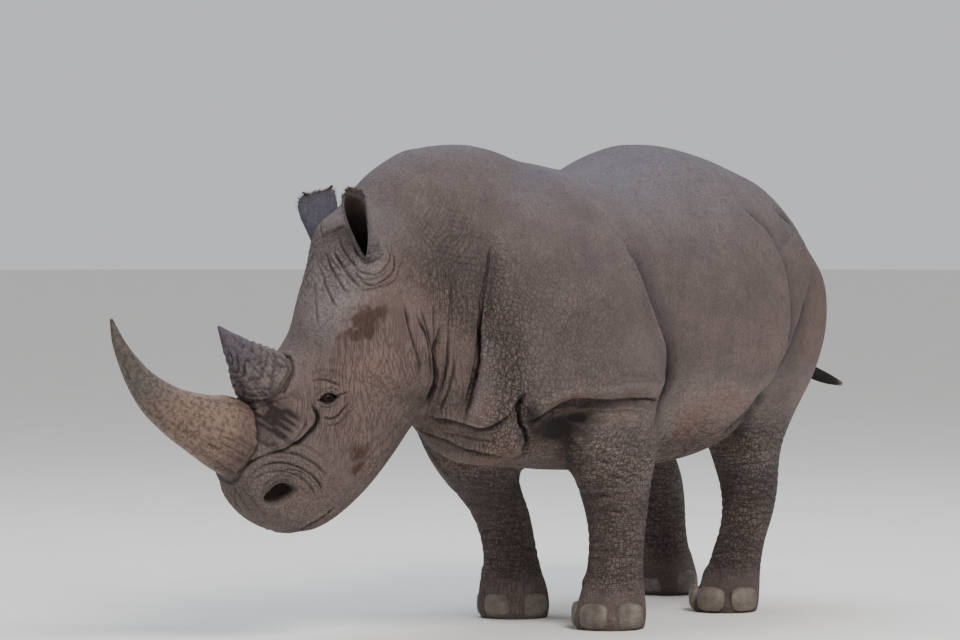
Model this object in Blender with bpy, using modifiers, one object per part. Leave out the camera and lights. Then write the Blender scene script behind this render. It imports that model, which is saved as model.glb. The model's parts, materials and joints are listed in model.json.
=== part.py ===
"""A life-size white rhinoceros bull, standing with its head low and turned a little to its right.

Metres. x runs back along the animal (its head is towards -x), its left side is towards -y, and it stands on
z = 0. The body is built whole from oval lofts, evened out, and then parted by thin cuts into the nodes that a
person would name. Horns, eyes, ears, nails and the tail's tuft are pieces of their own.
"""
import math

import bmesh
import bpy
import numpy as np
from mathutils import Matrix, Vector

NAME = "white_rhinoceros"

# ---- driving dimensions
CENTRE_SHIFT = (0.0386, -0.0360)  # brings the middle of the whole box to x = y = 0
VOXEL = 0.02
BODY_TRIANGLES = 3930
GAP = 0.0008  # between nodes that meet
LEG_TOP = 0.95  # height at which a leg starts to swing
LEGS = {
    # how far each foot stands behind its plain place, and how far the middle of the leg bows ahead
    "leg_front_left": (0.04, 0.0),
    "leg_front_right": (0.30, 0.09),
    "leg_hind_left": (-0.22, 0.05),
    "leg_hind_right": (0.40, 0.0),
}
BOW_HEIGHT, BOW_SPAN = 0.56, 0.13
# the cuts that part the body: how large a box takes a node out, and where the box starts
CUT_SPAN = (1.6, 1.3, 2.2)
NECK_CUT, NECK_CUT_TURN = (-0.54, 0.1, 1.2), (-15, 10)
HEAD_CUT, HEAD_CUT_PITCH = (0.12, 0, -0.12), 25  # in the head's frame
LEG_CUT_INNER, LEG_CUT_WIDTH, LEG_CUT_HEIGHT = 0.13, 0.55, 1.2
# x at the top and at the foot, depth, height of the top
LEG_CUTS = {"front": (-0.10, -0.01, 0.70, 0.98), "hind": (1.12, 1.12, 0.80, 1.00)}
EYE_RADIUS = 0.028
EYE = (0.508, 0.152, -0.054)  # along the head, out to the side, above its axis

# ---- ears: base and tip in the head's frame, and the way the opening faces in the world
EARS = {
    -1: ((0.022, -0.140, 0.085), (-0.105, -0.185, 0.310), (-0.90, 0.00, 0.0)),
    1: ((0.015, 0.152, 0.06), (-0.115, 0.170, 0.213), (0.80, 0.60, 0.0)),
}
EAR_RINGS, EAR_SIDES, EAR_WALL = 9, 9, 0.012
# share of the length, half width, half depth, wrap either way in degrees, how far its middle leans forward,
# and how far it stands out to the rear edge
EAR_SHAPE = [
    (0.00, 0.044, 0.040, 168, -0.045, 0.000),
    (0.20, 0.049, 0.042, 150, -0.042, 0.000),
    (0.42, 0.057, 0.042, 135, -0.036, 0.000),
    (0.65, 0.065, 0.040, 120, -0.028, 0.000),
    (0.85, 0.063, 0.034, 108, -0.022, 0.002),
    (0.95, 0.052, 0.026, 98, -0.018, 0.007),
    (1.00, 0.038, 0.018, 90, -0.014, 0.014),
]

SKIN = (0.36, 0.30, 0.26, 1)
HORN = (0.23, 0.19, 0.16, 1)
NAIL = (0.30, 0.26, 0.22, 1)
EYEBALL = (0.02, 0.015, 0.01, 1)
HAIR = (0.05, 0.04, 0.035, 1)

# ---- trunk: x, top, bottom, half width, height of the widest, powers above and below
TRUNK = [
    (-0.67, 1.20, 0.73, 0.20, 0.96, 2.0, 2.0),
    (-0.58, 1.40, 0.63, 0.30, 0.99, 2.0, 2.0),
    (-0.44, 1.60, 0.61, 0.37, 1.04, 1.9, 2.0),
    (-0.22, 1.71, 0.59, 0.44, 1.05, 1.8, 2.1),
    (0.03, 1.69, 0.57, 0.50, 1.04, 1.8, 2.2),
    (0.24, 1.67, 0.56, 0.55, 1.03, 1.9, 2.2),
    (0.44, 1.71, 0.56, 0.60, 1.02, 1.9, 2.2),
    (0.62, 1.77, 0.57, 0.62, 1.03, 1.9, 2.2),
    (0.80, 1.77, 0.61, 0.60, 1.06, 2.1, 2.1),
    (1.00, 1.72, 0.70, 0.56, 1.10, 2.3, 2.0),
    (1.18, 1.66, 0.81, 0.52, 1.14, 2.5, 2.0),
    (1.32, 1.58, 0.88, 0.46, 1.16, 2.5, 2.0),
    (1.44, 1.48, 0.94, 0.37, 1.18, 2.3, 2.0),
    (1.53, 1.37, 1.00, 0.26, 1.18, 2.1, 2.0),
]
# ---- neck and nuchal hump: x, y, z, pitch, yaw, half width, up, down, powers
NECK = [
    (-0.05, 0.04, 1.22, 0, 0, 0.33, 0.48, 0.50, 1.8, 2.0),
    (-0.34, 0.11, 1.22, 8, 6, 0.31, 0.565, 0.52, 1.7, 2.0),
    (-0.58, 0.18, 1.18, 24, 12, 0.28, 0.575, 0.46, 1.7, 2.0),
    (-0.74, 0.22, 1.10, 40, 20, 0.25, 0.44, 0.38, 1.9, 2.0),
    (-0.85, 0.26, 1.04, 50, 28, 0.225, 0.325, 0.32, 2.0, 2.0),
    (-0.93, 0.29, 0.99, 55, 33, 0.20, 0.24, 0.28, 2.0, 2.0),
]
# ---- head: where its axis starts, how it is held, and its outline along that axis
HEAD_PLACE = (-0.86, 0.25, 1.36)
HEAD_PITCH, HEAD_YAW, HEAD_ROLL = 56, 34, 13
HEAD_SIZE = 1.03
# along, dorsal line, ventral line, half width, powers above and below
HEAD = [
    (-0.10, 0.18, -0.28, 0.17, 2.0, 2.0),
    (-0.02, 0.22, -0.34, 0.19, 2.2, 2.0),
    (0.08, 0.185, -0.40, 0.195, 2.3, 2.1),
    (0.18, 0.125, -0.45, 0.195, 2.4, 2.3),
    (0.28, 0.085, -0.475, 0.195, 2.5, 2.5),
    (0.40, 0.070, -0.485, 0.195, 2.6, 2.6),
    (0.52, 0.095, -0.485, 0.185, 2.6, 2.6),
    (0.64, 0.125, -0.475, 0.172, 2.4, 2.6),
    (0.74, 0.130, -0.450, 0.160, 2.3, 2.6),
    (0.84, 0.100, -0.405, 0.148, 2.4, 2.6),
    (0.91, 0.035, -0.345, 0.136, 2.4, 2.5),
    (0.95, -0.050, -0.27, 0.115, 2.3, 2.4),
]
# ---- legs: height, x, distance from the middle, half depth in front and behind, half width, power
FORELEG = [
    (1.55, -0.12, 0.16, 0.16, 0.18, 0.10, 2.0),
    (1.40, -0.15, 0.23, 0.24, 0.27, 0.13, 2.0),
    (1.22, -0.17, 0.29, 0.29, 0.33, 0.165, 2.0),
    (1.05, -0.16, 0.32, 0.30, 0.35, 0.175, 2.0),
    (0.90, -0.12, 0.325, 0.32, 0.30, 0.175, 2.0),
    (0.78, -0.08, 0.32, 0.31, 0.24, 0.170, 2.0),
    (0.64, -0.04, 0.305, 0.235, 0.195, 0.157, 2.0),
    (0.52, -0.01, 0.29, 0.165, 0.150, 0.132, 2.1),
    (0.42, 0.01, 0.285, 0.130, 0.125, 0.112, 2.2),
    (0.30, 0.01, 0.28, 0.105, 0.105, 0.105, 2.1),
    (0.18, 0.00, 0.275, 0.115, 0.11, 0.11, 2.1),
    (0.09, -0.02, 0.275, 0.14, 0.12, 0.13, 2.2),
    (0.02, -0.03, 0.275, 0.15, 0.12, 0.135, 2.3),
    (-0.02, -0.03, 0.275, 0.145, 0.115, 0.13, 2.3),
]
HINDLEG = [
    (1.50, 1.12, 0.22, 0.18, 0.20, 0.14, 2.0),
    (1.30, 1.14, 0.30, 0.32, 0.33, 0.20, 2.1),
    (1.08, 1.12, 0.325, 0.38, 0.37, 0.20, 2.1),
    (0.90, 1.06, 0.33, 0.32, 0.36, 0.19, 2.1),
    (0.74, 1.06, 0.32, 0.22, 0.27, 0.16, 2.0),
    (0.60, 1.13, 0.31, 0.165, 0.185, 0.13, 2.0),
    (0.46, 1.20, 0.30, 0.125, 0.145, 0.11, 2.0),
    (0.36, 1.20, 0.295, 0.11, 0.12, 0.10, 2.0),
    (0.24, 1.16, 0.29, 0.105, 0.105, 0.10, 2.0),
    (0.14, 1.135, 0.29, 0.115, 0.11, 0.11, 2.1),
    (0.07, 1.115, 0.29, 0.135, 0.12, 0.125, 2.2),
    (0.02, 1.11, 0.29, 0.14, 0.12, 0.13, 2.3),
    (-0.02, 1.11, 0.29, 0.135, 0.115, 0.125, 2.3),
]
BUTTOCKS = [
    (1.46, 1.22, 0.00, 0.20, 0.22, 0.26, 2.0),
    (1.30, 1.22, 0.00, 0.25, 0.34, 0.33, 2.0),
    (1.12, 1.20, 0.00, 0.25, 0.37, 0.34, 2.0),
    (0.94, 1.16, 0.00, 0.22, 0.32, 0.30, 2.0),
    (0.84, 1.14, 0.00, 0.18, 0.24, 0.24, 2.0),
]
# ---- horns, in the head's plane: along, above, half depth, half width
FRONT_HORN = [
    (0.785, 0.06, 0.130, 0.105),
    (0.795, 0.14, 0.128, 0.100),
    (0.824, 0.25, 0.103, 0.082),
    (0.842, 0.36, 0.080, 0.066),
    (0.842, 0.45, 0.066, 0.054),
    (0.830, 0.53, 0.050, 0.043),
    (0.805, 0.61, 0.036, 0.032),
    (0.770, 0.69, 0.023, 0.021),
    (0.727, 0.755, 0.008, 0.008),
]
REAR_HORN = [
    (0.560, 0.03, 0.110, 0.095),
    (0.558, 0.12, 0.108, 0.090),
    (0.550, 0.18, 0.088, 0.070),
    (0.540, 0.24, 0.060, 0.048),
    (0.528, 0.31, 0.034, 0.028),
    (0.514, 0.372, 0.008, 0.008),
]
# ---- nails: half sizes, height of the middle, and how far out on the foot it sits
NAIL_SIZE = (0.026, 0.062, 0.050)
NAIL_HEIGHT = 0.054
NAIL_INSET = 0.90
# ---- tuft of the tail: x, y, z, half thickness across and along
TUFT = [
    (1.694, -0.190, 0.913, 0.021, 0.021),
    (1.709, -0.240, 0.880, 0.025, 0.027),
    (1.729, -0.300, 0.853, 0.021, 0.023),
    (1.750, -0.360, 0.830, 0.007, 0.008),
]
# ---- tail: x, y, z, half thickness
TAIL = [
    (1.40, 0.00, 1.41, 0.062),
    (1.51, 0.00, 1.375, 0.056),
    (1.59, -0.01, 1.285, 0.046),
    (1.630, -0.04, 1.17, 0.036),
    (1.650, -0.09, 1.05, 0.029),
    (1.670, -0.15, 0.955, 0.024),
    (1.694, -0.19, 0.913, 0.022),
]

# ---- deep folds of the hide's left side: route, depth, width, and which way and how far one bank stands proud
FOLDS = [
    # in front of the shoulder
    ([(-0.55, -0.09, 1.45), (-0.60, -0.10, 1.33), (-0.65, -0.11, 1.22), (-0.69, -0.12, 1.12),
      (-0.72, -0.13, 1.00), (-0.73, -0.11, 0.90), (-0.71, -0.07, 0.80)], 0.024, 0.024, (0.005, 0, 0)),
    # the armpit, and the roll of hide that hangs over the foreleg
    ([(-0.59, -0.28, 0.93), (-0.62, -0.25, 0.86), (-0.58, -0.23, 0.77), (-0.48, -0.20, 0.69),
      (-0.41, -0.14, 0.64)], 0.026, 0.024, (0, 0, 0)),
    ([(-0.58, -0.24, 0.77), (-0.52, -0.29, 0.80), (-0.42, -0.35, 0.83), (-0.34, -0.42, 0.84),
      (-0.22, -0.48, 0.85), (-0.10, -0.49, 0.85), (0.00, -0.49, 0.84)], 0.030, 0.026, (0, 0, 0.014)),
    # behind the shoulder
    ([(-0.06, -0.36, 1.43), (-0.04, -0.43, 1.30), (-0.02, -0.46, 1.20), (0.02, -0.49, 1.10),
      (0.04, -0.50, 0.99), (0.04, -0.49, 0.90), (0.00, -0.48, 0.81), (-0.02, -0.46, 0.72)],
     0.018, 0.026, (-0.010, 0, 0)),
    # down the paunch, and the great fold between the paunch and the thigh
    ([(0.72, -0.44, 1.54), (0.83, -0.51, 1.45), (0.87, -0.56, 1.31), (0.84, -0.59, 1.19), (0.78, -0.60, 1.07),
      (0.68, -0.61, 0.95), (0.61, -0.59, 0.88)], 0.014, 0.022, (-0.006, 0, 0)),
    ([(1.00, -0.42, 1.55), (1.12, -0.47, 1.44), (1.13, -0.52, 1.33), (1.07, -0.54, 1.22), (0.96, -0.57, 1.11),
      (0.82, -0.59, 1.00), (0.68, -0.59, 0.90), (0.59, -0.56, 0.82), (0.55, -0.50, 0.74), (0.56, -0.42, 0.67)],
     0.030, 0.028, (-0.018, 0, 0)),
    # across the neck, behind the jaw
    ([(-0.79, -0.03, 1.14), (-0.81, -0.01, 1.03), (-0.78, 0.00, 0.94), (-0.76, 0.04, 0.87),
      (-0.74, 0.09, 0.81)], 0.018, 0.020, (0, 0, 0)),
]
# the swell beside a fold: its place and width, in the fold's widths, and its share of the fold's depth
LIP_PLACE, LIP_WIDTH, LIP_SHARE = 2.4, 1.5, 0.35
BANK_REACH = 4.5  # how far a proud bank reaches, in widths
# ---- hollows, on the left side: place, depth, reach
ARMPIT = ((-0.38, -0.37, 0.755), 0.055, 0.095)
NOSTRIL = ((0.862, 0.140, -0.112), 0.030, 0.032)  # in the head's frame
# how far the neck's middle stands to the right of the trunk's, by the distance ahead
NECK_BEND = ((0.05, 0.34, 0.58, 0.74, 0.85), (0.0, 0.09, 0.14, 0.18, 0.21))


def hermite(keys, values, at):
    """A smooth curve through values at the given keys, each column on its own."""
    keys = np.asarray(keys, float)
    values = np.asarray(values, float)
    slope = np.gradient(values, keys, axis=0)
    i = np.clip(np.searchsorted(keys, at, side="right") - 1, 0, len(keys) - 2)
    step = (keys[i + 1] - keys[i])[:, None]
    t = (at - keys[i])[:, None] / step
    a, b = values[i], values[i + 1]
    da, db = slope[i] * step, slope[i + 1] * step
    rise = 3 * t**2 - 2 * t**3
    return a * (1 - rise) + b * rise + da * (t**3 - 2 * t**2 + t) + db * (t**3 - t**2)


def facing(pitch, yaw, roll=0.0):
    """Columns: the side to the animal's right, up, and ahead, for a dip of pitch and a turn right of yaw."""
    p, r = math.radians(pitch), math.radians(roll)
    ahead = Vector((-math.cos(p), 0, -math.sin(p)))
    up = Vector((-math.sin(p), 0, math.cos(p)))
    side = Vector((0, 1, 0))
    side, up = side * math.cos(r) + up * math.sin(r), up * math.cos(r) - side * math.sin(r)
    turn = Matrix.Rotation(math.radians(-yaw), 3, "Z")
    return np.array([turn @ side, turn @ up, turn @ ahead]).T


def loft(stations, rings, sides, cap=(0.5, 0.5)):
    """A closed skin over oval stations: x, y, z, pitch, yaw, half width, up, down, powers above and below."""
    stations = np.asarray(stations, float)
    steps = np.linalg.norm(np.diff(stations[:, :3], axis=0), axis=1)
    keys = np.concatenate([[0], np.cumsum(steps)])
    rows = hermite(keys, stations, np.linspace(0, keys[-1], rings))
    angle = np.arange(sides) * math.tau / sides
    cos, sin = np.cos(angle), np.sin(angle)
    points = []

    def add_ring(row, shrink, shift):
        frame = facing(row[3], row[4])
        power = np.where(sin >= 0, row[8], row[9])
        across = np.sign(cos) * np.abs(cos) ** (2 / power) * row[5] * shrink
        height = np.sign(sin) * np.abs(sin) ** (2 / power)
        height = height * np.where(sin >= 0, row[6], row[7]) * shrink
        middle = row[:3] + frame[:, 2] * shift
        points.append(middle + across[:, None] * frame[:, 0] + height[:, None] * frame[:, 1])

    round_end = np.radians([75, 50, 25])
    for turn in round_end:
        add_ring(rows[0], math.cos(turn), -math.sin(turn) * cap[0] * rows[0][5])
    for row in rows:
        add_ring(row, 1, 0)
    for turn in round_end[::-1]:
        add_ring(rows[-1], math.cos(turn), math.sin(turn) * cap[1] * rows[-1][5])
    faces = []
    last = (len(points) - 1) * sides
    for start in range(0, last, sides):
        for k in range(sides):
            a, b = start + k, start + (k + 1) % sides
            faces.append((a, b, b + sides, a + sides))
    faces.append(tuple(range(sides))[::-1])
    faces.append(tuple(range(last, last + sides)))
    return np.concatenate(points), faces


def head_point(along, side, up):
    """A place given in the head's own frame."""
    frame = facing(HEAD_PITCH, HEAD_YAW, HEAD_ROLL)
    return np.array(HEAD_PLACE) + HEAD_SIZE * (frame[:, 0] * side + frame[:, 1] * up + frame[:, 2] * along)


def in_head(shape):
    """A loft made with its nose to -x, put in the head's frame."""
    points, faces = shape
    return np.array([head_point(-x, y, z) for x, y, z in points]), faces


def trunk_form():
    rows = []
    for x, top, bottom, half, widest, above, below in reversed(TRUNK):
        rows.append((x, 0, widest, 0, 0, half, top - widest, widest - bottom, above, below))
    return loft(rows, rings=60, sides=56, cap=(0.5, 0.4))


def head_form():
    rows = []
    for along, top, bottom, half, above, below in HEAD:
        middle = (top + bottom) / 2 + 0.01
        rows.append((-along, 0, middle, 0, 0, half, top - middle, middle - bottom, above, below))
    return in_head(loft(rows, rings=48, sides=40, cap=(0.5, 0.25)))


def leg_form(rows, side, swing=0.0, bow=0.0):
    stations = []
    for z, x, y, front, rear, half, power in rows:
        drop = min(max((LEG_TOP - z) / LEG_TOP, 0), 1)
        x += swing * drop - bow * math.exp(-(((z - BOW_HEIGHT) / BOW_SPAN) ** 2))
        stations.append((x, side * y, z, 90, 0, half, front, rear, power, power))
    return loft(stations, rings=40, sides=32, cap=(0.6, 0.02))


def buttock_form():
    return leg_form(BUTTOCKS, 1)


def tail_form():
    rows = np.asarray(TAIL)
    run = np.gradient(rows[:, :3], axis=0)
    stations = []
    for (x, y, z, half), (dx, dy, dz) in zip(rows, run):
        pitch = math.degrees(math.atan2(-dz, -dx))
        stations.append((x, y, z, pitch, 0, half, half, half, 2, 2))
    return loft(stations, rings=14, sides=10)


def tuft_form():
    rows = np.asarray(TUFT)
    run = np.gradient(rows[:, :3], axis=0)
    stations = []
    for (x, y, z, across, along), (dx, dy, dz) in zip(rows, run):
        pitch = math.degrees(math.atan2(-dz, math.hypot(dx, dy)))
        yaw = math.degrees(math.atan2(dy, -dx))
        stations.append((x, y, z, pitch, yaw, across, along, along, 2, 2))
    return loft(stations, rings=7, sides=10)


def horn_form(rows, rings, sides):
    rows = np.asarray(rows)
    run = np.gradient(rows[:, :2], axis=0)
    stations = []
    for (along, up, deep, wide), (da, du) in zip(rows, run):
        pitch = math.degrees(math.atan2(-du, da))
        stations.append((-along, 0, up, pitch, 0, wide, deep, deep, 2, 2))
    return in_head(loft(stations, rings=rings, sides=sides, cap=(0.1, 0.8)))


def ear_form(side):
    """A cupped leaf on a short tube, open to the front, its wall EAR_WALL thick."""
    base, tip, opening = EARS[side]
    base, tip = (np.array(head_point(along, out, up)) for along, out, up in (base, tip))
    axis = tip - base
    length = np.linalg.norm(axis)
    axis /= length
    opening = np.asarray(opening, float)
    opening -= axis * (opening @ axis)
    opening /= np.linalg.norm(opening)
    across = np.cross(axis, opening)
    keys, *columns = zip(*EAR_SHAPE)
    rows = hermite(keys, np.array(columns).T, np.linspace(0, 1, EAR_RINGS))
    turn = np.linspace(-1, 1, EAR_SIDES)
    points = []
    for t, (half, deep, wrap, lean, out) in zip(np.linspace(0, 1, EAR_RINGS), rows):
        angle = turn * math.radians(wrap)
        centre = base + axis * t * length + opening * lean - across * side * out
        wall = min(EAR_WALL, 0.45 * deep)
        for grow, angles in ((0, angle), (wall, angle[::-1])):
            # the wall thins to a round rim where the leaf ends
            inward = grow * np.sqrt(np.clip(1 - (angles / angle[-1]) ** 8, 0, 1)) if grow else 0 * angles
            x = np.sin(angles) * (half - inward)
            y = -np.cos(angles) * (deep - inward) + deep
            points.append(centre + x[:, None] * across + y[:, None] * opening)
    count = 2 * EAR_SIDES
    faces = []
    for start in range(0, (EAR_RINGS - 1) * count, count):
        for k in range(count):
            a, b = start + k, start + (k + 1) % count
            faces.append((a, b, b + count, a + count))
    faces.append(tuple(range(count))[::-1])
    last = (EAR_RINGS - 1) * count
    faces.append(tuple(range(last, last + count)))
    return np.concatenate(points), faces


def make_object(name, shapes, collection):
    """One mesh object of several closed shapes, each (points, faces)."""
    points, faces, start = [], [], 0
    for some_points, some_faces in shapes:
        points.append(some_points)
        faces += [tuple(i + start for i in face) for face in some_faces]
        start += len(some_points)
    mesh = bpy.data.meshes.new(name)
    mesh.from_pydata(np.concatenate(points).tolist(), [], faces)
    bm = bmesh.new()
    bm.from_mesh(mesh)
    bmesh.ops.recalc_face_normals(bm, faces=bm.faces)
    bm.to_mesh(mesh)
    bm.free()
    obj = bpy.data.objects.new(name, mesh)
    collection.objects.link(obj)
    return obj


def apply_modifiers(obj):
    graph = bpy.context.evaluated_depsgraph_get()
    mesh = bpy.data.meshes.new_from_object(obj.evaluated_get(graph))
    obj.modifiers.clear()
    obj.data = mesh


def relax(obj, rounds):
    """Evens the surface: each point moves half way to the mean of its neighbours."""
    mesh = obj.data
    points = np.empty(len(mesh.vertices) * 3)
    mesh.vertices.foreach_get("co", points)
    points = points.reshape(-1, 3)
    edges = np.empty(len(mesh.edges) * 2, np.int32)
    mesh.edges.foreach_get("vertices", edges)
    a, b = edges.reshape(-1, 2).T
    both, other = np.concatenate([a, b]), np.concatenate([b, a])
    count = np.bincount(both, minlength=len(points))
    for _ in range(rounds):
        mean = np.stack([np.bincount(both, points[other, k], len(points)) / count for k in range(3)], axis=1)
        points = (points + mean) / 2
    mesh.vertices.foreach_set("co", points.ravel())
    mesh.update()


def mirrored(point):
    """The same place on the animal's other side, which follows the neck's bend."""
    x, y, z = point
    return x, 2 * float(np.interp(-x, *NECK_BEND)) - y, z


def crease(obj):
    """Sinks the deep folds and hollows into both sides of the body, each fold with swells or a proud bank."""
    mesh = obj.data
    points = np.empty(len(mesh.vertices) * 3)
    mesh.vertices.foreach_get("co", points)
    points = points.reshape(-1, 3)
    normals = np.empty(len(mesh.vertices) * 3, np.float32)
    mesh.vertex_normals.foreach_get("vector", normals)
    normals = normals.reshape(-1, 3)
    rise = np.zeros(len(points))
    for route, depth, width, bank in FOLDS:
        for line in (route, [mirrored(point) for point in route]):
            line = np.array(line)
            keys = np.arange(len(line))
            line = hermite(keys, line, np.linspace(0, keys[-1], 12 * len(line)))
            gap = np.linalg.norm(points[:, None] - line[None], axis=2)
            near = np.argmin(gap, axis=1)
            far = gap[np.arange(len(points)), near] / width
            share = near / (len(line) - 1)
            fade = np.clip(4 * share, 0, 1) * np.clip(4 * (1 - share), 0, 1)
            swell = LIP_SHARE * np.exp(-(((far - LIP_PLACE) / LIP_WIDTH) ** 2))
            rise += depth * fade * (swell - np.exp(-(far**2)))
            height = np.linalg.norm(bank)
            if height:
                uphill = (points - line[near]) @ np.array(bank) / height / width
                rise += height * fade * np.tanh(uphill) * np.exp(-((far / BANK_REACH) ** 2))
    place, depth, reach = NOSTRIL
    hollows = [(head_point(place[0], side * place[1], place[2]), depth, reach) for side in (-1, 1)]
    place, depth, reach = ARMPIT
    hollows += [(place, depth, reach), (mirrored(place), depth, reach)]
    for place, depth, reach in hollows:
        rise -= depth * np.exp(-((np.linalg.norm(points - place, axis=1) / reach) ** 2))
    points += normals * rise[:, None]
    mesh.vertices.foreach_set("co", points.ravel())
    mesh.update()


def whole_body(collection):
    """The body in one piece, evened, stood on flat soles and thinned to the triangles it may have."""
    shapes = [trunk_form(), loft(NECK, rings=40, sides=48, cap=(0.3, 0.3)), head_form(), buttock_form()]
    for name, (swing, bow) in LEGS.items():
        rows = FORELEG if "front" in name else HINDLEG
        side = -1 if "left" in name else 1
        shapes.append(leg_form(rows, side, swing, bow))
    body = make_object("body", shapes, collection)
    remesh = body.modifiers.new("Even", "REMESH")
    remesh.mode = "VOXEL"
    remesh.voxel_size = VOXEL
    apply_modifiers(body)
    relax(body, 14)
    crease(body)
    thin = body.modifiers.new("Thin", "DECIMATE")
    thin.ratio = BODY_TRIANGLES / (2 * len(body.data.polygons))
    apply_modifiers(body)
    bm = bmesh.new()
    bm.from_mesh(body.data)
    everything = bm.verts[:] + bm.edges[:] + bm.faces[:]
    cut = bmesh.ops.bisect_plane(bm, geom=everything, plane_co=(0, 0, 0), plane_no=(0, 0, 1), clear_inner=True)
    rim = [e for e in cut["geom_cut"] if isinstance(e, bmesh.types.BMEdge)]
    bmesh.ops.holes_fill(bm, edges=rim)
    bmesh.ops.triangulate(bm, faces=bm.faces)
    bm.to_mesh(body.data)
    bm.free()
    return body


def region(name, centre, size, turn, collection):
    """A box that takes one node out of the body, and a copy that is larger by the gap all round."""
    boxes = []
    for grow in (0, GAP):
        bm = bmesh.new()
        bmesh.ops.create_cube(bm, size=1)
        scale = Matrix.Diagonal([s + 2 * grow for s in size]).to_4x4()
        bm.transform(Matrix.Translation(centre) @ turn.to_4x4() @ scale)
        mesh = bpy.data.meshes.new(f"{name}_region_{len(boxes)}")
        bm.to_mesh(mesh)
        bm.free()
        box = bpy.data.objects.new(mesh.name, mesh)
        box.hide_render = True
        box.display_type = "WIRE"
        collection.objects.link(box)
        boxes.append(box)
    return boxes


def boolean(obj, cutter, operation):
    cut = obj.modifiers.new(cutter.name, "BOOLEAN")
    cut.object = cutter
    cut.operation = operation


def node_regions(collection):
    """The boxes that part the body, each with the node that it is taken from, in the order of the cuts."""
    def box_frame(pitch, yaw, roll=0.0):
        side, up, ahead = facing(pitch, yaw, roll).T
        return Matrix(np.array([ahead, -side, up]).T.tolist())

    neck_turn = box_frame(*NECK_CUT_TURN)
    head_turn = box_frame(HEAD_CUT_PITCH, HEAD_YAW, HEAD_ROLL)
    neck_centre = Vector(NECK_CUT) + neck_turn.col[0] * CUT_SPAN[0] / 2
    head_centre = Vector(head_point(*HEAD_CUT)) + head_turn.col[0] * CUT_SPAN[0] / 2
    regions = [
        ("neck", "trunk", neck_centre, CUT_SPAN, neck_turn),
        ("head", "neck", head_centre, CUT_SPAN, head_turn),
    ]
    for name, (swing, _) in LEGS.items():
        side = -1 if "left" in name else 1
        top_x, foot_x, depth, top = LEG_CUTS["front" if "front" in name else "hind"]
        lean = math.atan2(foot_x + swing - top_x, top)
        turn = Matrix.Rotation(-lean, 3, "Y")
        centre = Vector((top_x, side * (LEG_CUT_INNER + LEG_CUT_WIDTH / 2), top))
        centre -= turn.col[2] * LEG_CUT_HEIGHT / 2
        regions.append((name, "trunk", centre, (depth, LEG_CUT_WIDTH, LEG_CUT_HEIGHT), turn))
    return [(name, source, region(name, *place, collection)) for name, source, *place in regions]


def tidy(obj):
    """Joins points that a cut left all but together, and leaves triangles only."""
    bm = bmesh.new()
    bm.from_mesh(obj.data)
    bmesh.ops.remove_doubles(bm, verts=bm.verts, dist=0.00005)
    bmesh.ops.dissolve_degenerate(bm, dist=0.00005, edges=bm.edges)
    bmesh.ops.triangulate(bm, faces=bm.faces)
    bm.to_mesh(obj.data)
    bm.free()


def part_body(body, collection, cutters):
    """Parts the body into its named nodes; what no region takes is the trunk."""
    body.name = body.data.name = "trunk"
    nodes = {"trunk": body}
    for name, source, (inside, outside) in node_regions(cutters):
        rest = nodes[source]
        piece = bpy.data.objects.new(name, rest.data.copy())
        collection.objects.link(piece)
        boolean(piece, inside, "INTERSECT")
        boolean(rest, outside, "DIFFERENCE")
        apply_modifiers(piece)
        apply_modifiers(rest)
        tidy(piece)
        tidy(rest)
        nodes[name] = piece
    return nodes.values()


def paint(obj, name, colour, roughness):
    """Gives the object a plain finish, shared by all that have the same one."""
    material = bpy.data.materials.get(name)
    if material is None:
        material = bpy.data.materials.new(name)
        material.use_nodes = True
        shader = material.node_tree.nodes["Principled BSDF"]
        shader.inputs["Base Color"].default_value = colour
        shader.inputs["Roughness"].default_value = roughness
        shader.inputs["Metallic"].default_value = 0.0
    obj.data.materials.clear()
    obj.data.materials.append(material)
    obj.data.shade_smooth()
    obj.data.set_sharp_from_angle(angle=math.radians(50))


def swollen(body, name, collection):
    """The whole body grown by the gap, which cuts whatever stands on it."""
    cutter = bpy.data.objects.new(name, body.data.copy())
    cutter.hide_render = True
    cutter.display_type = "WIRE"
    collection.objects.link(cutter)
    points = [v.co + v.normal * GAP for v in cutter.data.vertices]
    for vertex, point in zip(cutter.data.vertices, points):
        vertex.co = point
    return cutter


def ball(name, centre, size, turn, segments, rings, collection):
    bm = bmesh.new()
    bmesh.ops.create_uvsphere(bm, u_segments=segments, v_segments=rings, radius=1)
    bm.transform(Matrix.Translation(centre) @ turn.to_4x4() @ Matrix.Diagonal(size).to_4x4())
    mesh = bpy.data.meshes.new(name)
    bm.to_mesh(mesh)
    bm.free()
    obj = bpy.data.objects.new(name, mesh)
    collection.objects.link(obj)
    return obj


def nail_places():
    """Three nails to a foot: one ahead and one either side of it."""
    for name, (swing, _) in LEGS.items():
        rows = FORELEG if "front" in name else HINDLEG
        side = -1 if "left" in name else 1
        z, x, out, front, rear, half, power = rows[-2]
        for place, turn in (("outer", 62), ("middle", 0), ("inner", -62)):
            turn = math.radians(turn) * side
            deep, wide = front * math.cos(turn), half * math.sin(turn)
            centre = Vector((x + swing - deep * NAIL_INSET, side * out + wide * NAIL_INSET, NAIL_HEIGHT))
            yield f"nail_{name[4:]}_{place}", centre, Matrix.Rotation(-turn, 3, "Z")


def grow_on(obj, cutter):
    """Takes away from a piece what lies inside the body."""
    boolean(obj, cutter, "DIFFERENCE")
    apply_modifiers(obj)
    tidy(obj)


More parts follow.
